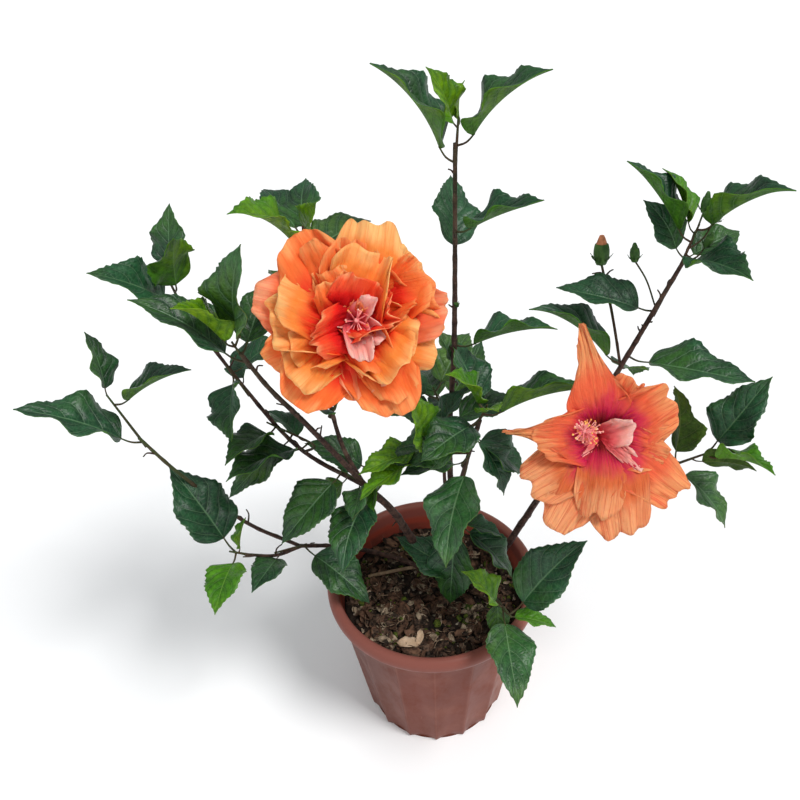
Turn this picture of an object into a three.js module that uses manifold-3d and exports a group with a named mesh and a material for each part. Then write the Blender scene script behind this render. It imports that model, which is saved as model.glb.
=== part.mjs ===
// A double hibiscus shrub in a sixteen-sided flower pot, in millimetres, +Z up.
// The origin is the middle of the pot's flat underside and the shrub faces -Y.
import * as THREE from "three";
import { mergeVertices } from "three/addons/utils/BufferGeometryUtils.js";
import Module from "manifold-3d";

const wasm = await Module();
wasm.setup();
const { Manifold, Mesh } = wasm;

// ---- sizes ----------------------------------------------------------------
const GAP = 0.3;

const POT_HEIGHT = 185;
const RIM_RADIUS = 105;
const RIM_DEPTH = 15;
const RIM_WALL = 8;
const POT_TOP_RADIUS = 97;
const POT_FOOT_RADIUS = 74;
const POT_WALL = 2.4;
const POT_FLOOR = 4;
const PANELS = 16;
const SEGMENTS_PER_PANEL = 2;
const FLUTE_AT_FOOT = 3.4;
const FLUTE_AT_TOP = 1.8;
const SOIL_TOP = 153;

const LEAF_WIDTH = 0.56;
const LEAF_THICKNESS = 0.13;
const LEAF_DROOP = 0.08;
const SHORT_LEAF = 75;
const TWIG_PAD_RADIUS = 4.5;

// Stems and boughs: the points each one passes through and its two radii.
// The ones from the soil come first, and each later one grows from an earlier.
const LIMBS = {
  trunk: { through: [[14, 16, 150], [-10, 17, 195], [-33, 2, 270], [-58, -12, 322]], radii: [4.6, 3], flare: 1.5 },
  stem_centre: { through: [[24, 31, 150], [22, 31, 240], [20, 33, 335], [25, 40, 440], [26, 40, 606]], radii: [3.4, 1.6], flare: 1.4 },
  stem_right: { through: [[60, 31, 150], [87, 30, 212], [131, 31, 318], [171, 40, 411], [206, 45, 500]], radii: [3.8, 1.7], flare: 1.4 },
  bough_low_left: { through: [[8, 18, 160], [-38, 36, 168], [-88, 28, 196], [-126, -5, 236]], radii: [2.7, 1.9] },
  bough_upper_left: { through: [[-58, -12, 322], [-98, -20, 398], [-121, -30, 444], [-136, -38, 484]], radii: [2.7, 1.7] },
  bough_bloom_left: { through: [[-57, -11, 320], [-76, 4, 360], [-85, 10, 440], [-88, 10, 536]], radii: [2.1, 1.4] },
  bough_outer_left: { through: [[-58, -11, 320], [-113, 10, 346], [-153, 22, 402], [-199, 40, 480]], radii: [2.1, 1.4] },
  bough_far_left: { through: [[-126, -5, 236], [-172, -10, 277], [-216, -20, 350], [-240, -20, 390]], radii: [1.9, 1.4] },
  branch_low_left: { through: [[-125, -5, 235], [-143, -32, 254], [-166, -46, 272]], radii: [1.7, 1.3] },
  branch_centre: { through: [[22, 31, 235], [26, 18, 275], [36, 0, 345], [44, -10, 390]], radii: [2.5, 1.7] },
  branch_right_side: { through: [[120, 30, 290], [158, 28, 300], [193, 21, 308], [226, 12, 315]], radii: [2.1, 1.5] },
  shoot_low_right: { through: [[26, 26, 160], [42, 6, 176], [58, -34, 193], [67, -74, 217]], radii: [2.1, 1.5] },
  shoot_back: { through: [[24, 31, 205], [16, 70, 250], [20, 100, 300]], radii: [2.3, 1.5] },
  stalk_bloom_left: { through: [[-85, 10, 450], [-76, -22, 486], [-58, -54, 519]], radii: [1.6, 1.5] },
  stalk_bloom_right: { through: [[100, 30, 243], [112, 5, 300], [128, -38, 375]], radii: [1.9, 1.6] },
  stalk_buds: { through: [[168, 40, 405], [160, 60, 446], [150, 82, 486]], radii: [1.3, 1.1] },
};

// Foliage: each mass has the twig it sits on, from and to, and its leaves as
// [how far along the twig, compass heading, rise above level, length].
const FOLIAGE = {
  foliage_top_tip: {
    from: [26, 40, 588], to: [28, 40, 620],
    leaves: [[0.1, -170, 54, 92], [0.9, -138, 61, 52], [0.5, -25, 41, 90]],
  },
  foliage_top_middle: {
    from: [26, 40, 510], to: [26, 40, 540],
    leaves: [[0.9, -30, 30, 80], [0.1, 90, 36, 78]],
  },
  foliage_stem_leaf: {
    from: [25, 40, 412], to: [27, 40, 434],
    leaves: [[0.9, -4, 14, 84], [0, 132, 49, 38]],
  },
  foliage_centre_crown: {
    from: [38, -4, 368], to: [48, -12, 404],
    leaves: [[0.95, 108, 20, 78], [0.7, -133, 2, 62], [0.8, -11, 24, 98], [0.6, 4, -40, 72], [0.2, -78, 0, 72]],
  },
  foliage_centre_left: {
    from: [20, 31, 345], to: [-4, -10, 364],
    leaves: [[0.9, -154, -5, 62], [1, 109, 51, 50], [0.7, 37, 41, 58]],
  },
  foliage_centre_front: {
    from: [30, 6, 325], to: [34, -12, 352],
    leaves: [[0.9, -106, -31, 94], [0.5, 200, 5, 60]],
  },
  foliage_centre_low: {
    from: [24, 31, 212], to: [46, 6, 226],
    leaves: [[0.9, 175, 14, 74], [0.6, -40, 30, 64]],
  },
  foliage_trunk_left: {
    from: [-52, -10, 312], to: [-76, -6, 334],
    leaves: [[0.1, -106, -19, 78], [1, -136, -25, 80]],
  },
  foliage_left_inner: {
    from: [-100, 2, 358], to: [-136, 14, 372],
    leaves: [[0.1, -137, 8, 82], [0.9, -119, 11, 68], [0.5, -139, -22, 74]],
  },
  foliage_under_bloom: {
    from: [-84, 8, 384], to: [-78, 2, 398],
    leaves: [[0.5, 130, 4, 64], [0.6, 79, -7, 64], [0.8, -120, 40, 52]],
  },
  foliage_low_left_fork: {
    from: [-120, 0, 232], to: [-141, -28, 254],
    leaves: [[0.1, -32, -27, 82], [0.9, -107, 13, 56]],
  },
  foliage_low_left_tip: {
    from: [-160, -42, 266], to: [-174, -50, 280],
    leaves: [[0.9, 143, 46, 95], [0.9, -95, 3, 62]],
  },
  foliage_far_left: {
    from: [-236, -20, 380], to: [-256, -14, 426],
    leaves: [[0.1, -166, 34, 104], [0.9, 2, 26, 76], [1, 117, 60, 56]],
  },
  foliage_upper_left_tip: {
    from: [-196, 38, 474], to: [-204, 40, 506],
    leaves: [[1, 77, 64, 58], [0.6, -106, 54, 62], [0.6, -8, 48, 52], [0.3, -130, 42, 88]],
  },
  foliage_upper_left: {
    from: [-132, -35, 468], to: [-139, -38, 490],
    leaves: [[0.3, 179, 38, 94], [1, -26, 77, 92], [1, -141, 69, 58], [0.6, 79, 8, 64]],
  },
  foliage_outer_left: {
    from: [-152, 20, 400], to: [-166, 26, 424],
    leaves: [[0.9, -83, -14, 74], [0.4, 94, 9, 60], [0.9, 20, 20, 60]],
  },
  foliage_behind_bloom_left: {
    from: [-88, 10, 526], to: [-86, 10, 556],
    leaves: [[0.7, -133, 40, 74], [0.9, 121, 13, 70], [0.9, 92, 19, 64], [0.4, 50, 1, 74]],
  },
  foliage_back_left: {
    from: [-85, 10, 444], to: [-92, 38, 462],
    leaves: [[0.6, 70, 0, 78], [1, 125, 16, 76], [0.9, 28, 8, 72]],
  },
  foliage_right_tip: {
    from: [204, 45, 494], to: [211, 42, 530],
    leaves: [[0.7, 160, 49, 82], [1, -53, 42, 88], [0.3, 94, -11, 64], [0.4, -72, 15, 78]],
  },
  foliage_right_leaf: {
    from: [190, 44, 452], to: [194, 45, 462],
    leaves: [[0.5, 164, 9, 84], [0.7, 60, 10, 62]],
  },
  foliage_right_middle: {
    from: [168, 39, 402], to: [176, 41, 420],
    leaves: [[0.3, 168, 33, 96], [0.7, -26, 2, 102], [0.2, 70, -12, 74]],
  },
  foliage_right_side: {
    from: [222, 12, 313], to: [246, 2, 336],
    leaves: [[0.1, 103, 85, 72], [0.3, -66, 42, 62], [0.9, 17, 59, 82], [0.9, -55, 22, 72], [0.4, 1, -49, 64]],
  },
  foliage_right_back: {
    from: [148, 28, 294], to: [170, 34, 306],
    leaves: [[0.2, -79, -8, 72], [0.6, -43, -44, 74], [0.6, 66, 6, 80], [1, 35, 30, 76]],
  },
  foliage_low_right: {
    from: [56, -30, 192], to: [68, -78, 220],
    leaves: [[0.1, -48, 16, 50], [1, 37, 37, 98], [0.7, -84, -13, 98]],
  },
  foliage_back: {
    from: [18, 92, 288], to: [20, 108, 314],
    leaves: [[0.4, 170, 12, 84], [0.5, 12, 8, 84], [1, 128, 26, 80], [1, 55, 30, 80], [0.7, 88, -26, 78]],
  },
  foliage_back_centre: {
    from: [20, 34, 350], to: [8, 62, 366],
    leaves: [[0.8, 150, 10, 78], [1, 62, 18, 80], [0.9, 100, -14, 74]],
  },
};

// The blooms: middle, the way each one faces, and the reach of its petals as
// [direction round the face, length, spread].
const BLOOMS = {
  bloom_left: {
    middle: [-50, -76, 536], heading: -86, rise: 36, deep: 30, cup: -0.1, ruffle: 0.07,
    petals: [[0, 62, 50], [60, 58, 48], [118, 60, 48], [175, 63, 50], [232, 61, 48], [296, 60, 50]],
  },
  bloom_right: {
    middle: [129, -62, 412], heading: -84, rise: 36, deep: 9, cup: 0.16, ruffle: 0.04,
    petals: [[22, 64, 22], [92, 88, 15], [172, 84, 17], [225, 74, 20], [283, 90, 18], [332, 74, 20]],
  },
};

// ---- solids ---------------------------------------------------------------
function solidFrom(geometry) {
  const bare = new THREE.BufferGeometry();
  bare.setAttribute("position", geometry.getAttribute("position"));
  bare.setIndex(geometry.index);
  const welded = mergeVertices(bare, 1e-4);
  const index = welded.index.array;
  const kept = [];
  for (let i = 0; i < index.length; i += 3) {
    const [a, b, c] = [index[i], index[i + 1], index[i + 2]];
    if (a !== b && b !== c && c !== a) kept.push(a, b, c);
  }
  const vertProperties = new Float32Array(welded.getAttribute("position").array);
  const triVerts = new Uint32Array(kept);
  return new Manifold(new Mesh({ numProp: 3, vertProperties, triVerts }));
}

function geometryFrom(solid) {
  const mesh = solid.getMesh();
  const geometry = new THREE.BufferGeometry();
  geometry.setAttribute("position", new THREE.BufferAttribute(new Float32Array(mesh.vertProperties), 3));
  geometry.setIndex(new THREE.BufferAttribute(new Uint32Array(mesh.triVerts), 1));
  geometry.computeVertexNormals();
  return geometry;
}

function moveVertices(geometry, move) {
  const position = geometry.getAttribute("position");
  const point = new THREE.Vector3();
  for (let i = 0; i < position.count; i += 1) {
    point.fromBufferAttribute(position, i);
    move(point);
    position.setXYZ(i, point.x, point.y, point.z);
  }
  return geometry;
}

function largestPiece(solid) {
  const pieces = solid.decompose();
  pieces.sort((a, b) => b.volume() - a.volume());
  return pieces[0];
}

// Turns a lathe's or a sphere's +Y axis into +Z.
function standUp(geometry) {
  return geometry.rotateX(Math.PI / 2);
}

function vector(values) {
  return new THREE.Vector3(...values);
}

function direction(heading, rise) {
  const turn = THREE.MathUtils.degToRad(heading);
  const lift = THREE.MathUtils.degToRad(rise);
  return new THREE.Vector3(Math.cos(turn) * Math.cos(lift), Math.sin(turn) * Math.cos(lift), Math.sin(lift));
}

// ---- the pot and its soil ---------------------------------------------------
function outerRadius(z) {
  return THREE.MathUtils.mapLinear(z, 0, POT_HEIGHT - RIM_DEPTH, POT_FOOT_RADIUS, POT_TOP_RADIUS);
}

function fluteDepth(z) {
  return THREE.MathUtils.mapLinear(z, 0, POT_HEIGHT - RIM_DEPTH, FLUTE_AT_FOOT, FLUTE_AT_TOP);
}

function innerRadius(z) {
  return outerRadius(z) - fluteDepth(z) - POT_WALL;
}

function flutedPot() {
  const lipFoot = POT_HEIGHT - RIM_DEPTH;
  const outline = [
    [0, 0], [outerRadius(0) - 1, 0], [outerRadius(2), 2], [outerRadius(90), 90],
    [outerRadius(lipFoot - 3), lipFoot - 3], [outerRadius(lipFoot) + 3, lipFoot],
    [RIM_RADIUS, lipFoot + 3], [RIM_RADIUS - 1, POT_HEIGHT - 2],
    [RIM_RADIUS - 3, POT_HEIGHT], [RIM_RADIUS - RIM_WALL - 1, POT_HEIGHT - 1], [RIM_RADIUS - RIM_WALL - 4, lipFoot],
    [innerRadius(SOIL_TOP), SOIL_TOP], [innerRadius(POT_FLOOR), POT_FLOOR], [0, POT_FLOOR],
  ];
  const profile = outline.map(([radius, z]) => new THREE.Vector2(radius, z));
  const lathe = standUp(new THREE.LatheGeometry(profile, PANELS * SEGMENTS_PER_PANEL));
  return solidFrom(moveVertices(lathe, fluteOutside));
}

function fluteOutside(point) {
  const radius = Math.hypot(point.x, point.y);
  const outside = radius > innerRadius(point.z) + fluteDepth(point.z) + 0.5;
  if (!outside || point.z > POT_HEIGHT - RIM_DEPTH - 1) return;
  const angle = Math.atan2(point.y, point.x) + Math.PI / 2;
  const hollow = Math.abs(Math.sin(angle * PANELS / 2));
  const shrink = (radius - fluteDepth(point.z) * hollow) / radius;
  point.x *= shrink;
  point.y *= shrink;
}

function soilBall(grow) {
  const foot = POT_FLOOR + GAP;
  const top = SOIL_TOP + grow;
  const outline = [[0, foot], [innerRadius(foot) - GAP, foot], [innerRadius(top) - GAP, top], [0, top]];
  const profile = outline.map(([radius, z]) => new THREE.Vector2(radius, z));
  return solidFrom(standUp(new THREE.LatheGeometry(profile, PANELS * SEGMENTS_PER_PANEL)));
}

// ---- stems and boughs -------------------------------------------------------
function limbRadius(limb, along) {
  const [thick, thin] = limb.radii;
  const flare = limb.flare ? (limb.flare - 1) * Math.exp(-along * 14) : 0;
  return THREE.MathUtils.lerp(thick, thin, along) * (1 + flare);
}

function limbSolid(limb, grow) {
  const curve = new THREE.CatmullRomCurve3(limb.through.map(vector));
  const steps = limb.flare ? 8 : 4;
  const profile = [new THREE.Vector2(0, 0)];
  for (let i = 0; i <= steps; i += 1) profile.push(new THREE.Vector2(limbRadius(limb, i / steps) + grow, i / steps));
  profile.push(new THREE.Vector2(0, 1));
  const lathe = standUp(new THREE.LatheGeometry(profile, 6));
  const frames = curve.computeFrenetFrames(steps, false);
  moveVertices(lathe, (point) => {
    const station = Math.round(point.z * steps);
    const middle = curve.getPointAt(station / steps);
    middle.addScaledVector(frames.normals[station], point.x);
    middle.addScaledVector(frames.binormals[station], point.y);
    point.copy(middle);
  });
  const solid = solidFrom(lathe);
  return solid.volume() > 0 ? solid : solidFrom(flipped(lathe));
}

function flipped(geometry) {
  const index = geometry.index.array;
  for (let i = 0; i < index.length; i += 3) [index[i], index[i + 1]] = [index[i + 1], index[i]];
  return geometry;
}

// ---- foliage ------------------------------------------------------------------
// One leaf's pad: an egg-shaped lens from the twig to the leaf's tip, drooping.
function leafPad(start, heading, rise, length, grow) {
  const along = direction(heading, rise);
  const side = direction(heading + 90, 0);
  const face = new THREE.Vector3().crossVectors(along, side);
  const ball = new THREE.SphereGeometry(1, 4, length < SHORT_LEAF ? 3 : 4);
  const halfWidth = length * LEAF_WIDTH / 2 + grow;
  const halfThick = length * LEAF_THICKNESS / 2 + grow;
  moveVertices(ball, (point) => {
    const share = (point.y + 1) / 2;
    const broad = 1.25 - 0.5 * share;
    const droop = LEAF_DROOP * length * (1 - 4 * (share - 0.5) ** 2);
    const moved = start.clone().addScaledVector(along, length * share + grow * point.y);
    moved.addScaledVector(side, -point.x * halfWidth * broad);
    moved.addScaledVector(face, point.z * halfThick + droop);
    point.copy(moved);
  });
  const pad = solidFrom(ball);
  return pad.volume() > 0 ? pad : solidFrom(flipped(ball));
}

// The short piece of twig that a mass's leaves sit on.
function twigPad(from, to, grow) {
  const reach = new THREE.Vector3().subVectors(to, from);
  const ball = new THREE.SphereGeometry(TWIG_PAD_RADIUS + grow, 5, 4);
  const turn = new THREE.Quaternion().setFromUnitVectors(new THREE.Vector3(0, 1, 0), reach.clone().normalize());
  const stretch = 1 + reach.length() / 2 / TWIG_PAD_RADIUS;
  const middle = from.clone().lerp(to, 0.5);
  moveVertices(ball, (point) => {
    point.y *= stretch;
    point.applyQuaternion(turn).add(middle);
  });
  return solidFrom(ball);
}

function foliageSolid(mass, grow) {
  const from = vector(mass.from);
  const to = vector(mass.to);
  const pads = [twigPad(from, to, grow)];
  for (const [along, heading, rise, length] of mass.leaves) {
    pads.push(leafPad(from.clone().lerp(to, along), heading, rise, length, grow));
  }
  return Manifold.union(pads);
}

// ---- blooms -------------------------------------------------------------------
function petalReach(bloom, angle) {
  let reach = 0;
  for (const [middle, length, spread] of bloom.petals) {
    const away = THREE.MathUtils.euclideanModulo(angle - middle + 180, 360) - 180;
    reach = Math.max(reach, length * (0.58 + 0.42 * Math.exp(-((away / spread) ** 2))));
  }
  return reach;
}

function bloomSolid(bloom, grow) {
  const out = direction(bloom.heading, bloom.rise);
  const across = direction(bloom.heading + 90, 0);
  const up = new THREE.Vector3().crossVectors(out, across);
  const middle = vector(bloom.middle);
  const ball = new THREE.SphereGeometry(1, 28, 6);
  moveVertices(ball, (point) => {
    const angle = THREE.MathUtils.radToDeg(Math.atan2(point.z, point.x));
    const share = Math.hypot(point.x, point.z);
    const turn = THREE.MathUtils.degToRad(angle);
    const reach = petalReach(bloom, angle) * (1 + bloom.ruffle * Math.sin(turn * 11) * share) + grow;
    const lift = point.y * (bloom.deep + grow) + bloom.cup * reach * share * share;
    const moved = middle.clone().addScaledVector(across, Math.cos(turn) * share * reach);
    moved.addScaledVector(up, Math.sin(turn) * share * reach);
    point.copy(moved.addScaledVector(out, lift));
  });
  const solid = solidFrom(ball);
  return solid.volume() > 0 ? solid : solidFrom(flipped(ball));
}

// ---- materials ------------------------------------------------------------------
const plain = (color, roughness) => () => new THREE.MeshStandardMaterial({ color, roughness, metalness: 0 });
const potPlastic = plain("#96553f", 0.6);
const soilBrown = plain("#3b2a20", 0.95);
const bark = plain("#5a3a2c", 0.8);
const leafGreen = plain("#2f6b35", 0.5);
const petalOrange = plain("#f0824a", 0.6);

// ---- the whole plant --------------------------------------------------------------
const plant = new THREE.Group();
const taken = [];

function place(name, solid, grown, material) {
  const mesh = new THREE.Mesh(geometryFrom(solid), material());
  mesh.name = name;
  plant.add(mesh);
  taken.push(grown);
}

function placeCutRound(name, build, spec, material) {
  const whole = build(spec, 0);
  const grown = build(spec, GAP);
  place(name, largestPiece(whole.subtract(Manifold.union(taken))), grown, material);
}

place("pot", flutedPot(), flutedPot(), potPlastic);
place("soil", soilBall(0), soilBall(GAP), soilBrown);
for (const [name, limb] of Object.entries(LIMBS)) placeCutRound(name, limbSolid, limb, bark);
for (const [name, bloom] of Object.entries(BLOOMS)) placeCutRound(name, bloomSolid, bloom, petalOrange);
for (const [name, mass] of Object.entries(FOLIAGE)) placeCutRound(name, foliageSolid, mass, leafGreen);

export default plant;
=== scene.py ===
import math
import random

import bmesh
import bpy
from mathutils import Matrix, Vector, noise


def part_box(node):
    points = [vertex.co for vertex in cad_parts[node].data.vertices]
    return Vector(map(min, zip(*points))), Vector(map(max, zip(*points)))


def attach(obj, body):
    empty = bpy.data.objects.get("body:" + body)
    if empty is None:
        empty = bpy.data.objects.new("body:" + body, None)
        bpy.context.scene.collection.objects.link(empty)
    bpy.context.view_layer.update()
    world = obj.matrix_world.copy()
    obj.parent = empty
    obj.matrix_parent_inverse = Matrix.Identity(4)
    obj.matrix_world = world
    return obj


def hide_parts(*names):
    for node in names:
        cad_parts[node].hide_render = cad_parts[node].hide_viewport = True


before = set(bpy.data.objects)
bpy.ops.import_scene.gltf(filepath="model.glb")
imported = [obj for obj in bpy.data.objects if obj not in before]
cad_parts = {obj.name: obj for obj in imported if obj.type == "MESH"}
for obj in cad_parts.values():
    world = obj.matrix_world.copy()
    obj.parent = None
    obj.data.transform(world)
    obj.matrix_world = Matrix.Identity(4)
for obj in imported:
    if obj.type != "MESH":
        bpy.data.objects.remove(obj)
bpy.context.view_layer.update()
MM = 0.001
SEED = 41
# Without a seed of its own, noise_vector takes its offsets from the clock.
noise.seed_set(SEED)

# ---------------------------------------------------------------- sizes, in mm
POT_HEIGHT = round(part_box("pot")[1][2] / MM)
RIM_RADIUS = round(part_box("pot")[1][0] / MM)
RIM_DEPTH = 15
POT_TOP_RADIUS = 97
POT_FOOT_RADIUS = 74
POT_WALL = 2.4
POT_FLOOR = 5
PANELS = 16
FLUTE_AT_FOOT = 3.4
FLUTE_AT_TOP = 1.8
SOIL_TOP = 153
SOIL_FOOT = 120
SCAR_GAP = 26
# A blade's breadth beside its length, its stalk's share of the whole, its
# pairs of side veins and how far forward each of them sweeps.
LEAF_BREADTH = 0.63
LEAF_THICKNESS = 0.45
PETIOLE_SHARE = 0.17
SIDE_VEINS = 5.5
VEIN_SWEEP = 0.34
# Where the light that the leaves turn to comes from, in metres.
WINDOW = Vector((0.0, -0.55, 0.85))
PETAL_THICKNESS = 0.5
# A full petal's length, over which the colours of the throat run out.
PETAL_REACH = 84

# Stems and boughs: the points each passes through, its two radii, and how
# green the bark is at its two ends, 0 for old wood and 1 for a new shoot.
LIMBS = {
    "trunk": (
        [(14, 16, 148), (-10, 17, 195), (-33, 2, 270), (-58, -12, 322)], 4.6, 3, 0.0, 0.1),
    "stem_centre": (
        [(24, 31, 148), (22, 31, 240), (20, 33, 335), (25, 40, 440), (26, 40, 606)], 3.4, 1.6, 0.0, 0.55),
    "stem_right": (
        [(60, 31, 148), (87, 30, 212), (131, 31, 318), (171, 40, 411), (206, 45, 500)], 3.8, 1.7, 0.0, 0.45),
    "bough_low_left": (
        [(8, 18, 160), (-38, 36, 168), (-88, 28, 196), (-126, -5, 236)], 2.7, 1.9, 0.1, 0.2),
    "bough_upper_left": (
        [(-56, -11, 319), (-98, -20, 398), (-121, -30, 444), (-136, -38, 484)], 2.7, 1.7, 0.1, 0.6),
    "bough_bloom_left": (
        [(-57, -11, 319), (-76, 4, 360), (-85, 10, 440), (-88, 10, 536)], 2.1, 1.4, 0.1, 0.6),
    "bough_outer_left": (
        [(-57, -11, 319), (-113, 10, 346), (-153, 22, 402), (-199, 40, 480)], 2.1, 1.4, 0.1, 0.5),
    "bough_far_left": (
        [(-126, -5, 236), (-172, -10, 277), (-216, -20, 350), (-240, -20, 390)], 1.9, 1.4, 0.2, 0.9),
    "branch_low_left": (
        [(-125, -5, 235), (-143, -32, 254), (-166, -46, 272)], 1.7, 1.3, 0.2, 0.5),
    "branch_centre": (
        [(22, 31, 235), (26, 18, 275), (36, 0, 345), (44, -10, 390)], 2.5, 1.7, 0.1, 0.4),
    "branch_right_side": (
        [(120, 30, 290), (158, 28, 300), (193, 21, 308), (226, 12, 315)], 2.1, 1.5, 0.1, 0.4),
    "shoot_low_right": (
        [(26, 26, 158), (42, 6, 176), (58, -34, 193), (67, -74, 217)], 2.1, 1.5, 0.2, 0.7),
    "shoot_back": (
        [(24, 31, 205), (16, 70, 250), (20, 100, 300)], 2.3, 1.5, 0.1, 0.5),
    "stalk_bloom_left": (
        [(-85, 10, 450), (-76, -22, 486), (-58, -54, 519)], 1.6, 1.5, 0.5, 0.9),
    "stalk_bloom_right": (
        [(100, 30, 243), (112, 5, 300), (128, -38, 375)], 1.9, 1.6, 0.2, 0.7),
    "stalk_buds": (
        [(168, 40, 405), (160, 60, 446), (150, 82, 486)], 1.3, 1.1, 0.4, 0.9),
}

# How a blade is held: the angle between it and the light from the window in
# front, where 90 faces it and below 0 shows its back, and how steeply its two
# halves fold up from the midrib, in degrees. LEVEL blades are simply level.
FLAT = (62, 15)
OPEN = (40, 25)
FOLDED = (16, 34)
CLOSED = (6, 42)
AWAY = (-52, 10)
LEVEL = (None, 16)
AWAY_STEEP = (-40, 18)
AWAY_SLIGHT = (-30, 20)
# A blade's tone, as the place of its face among the leaf materials.
DARK = 0
FULL = 2
YOUNG = 4

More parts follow.
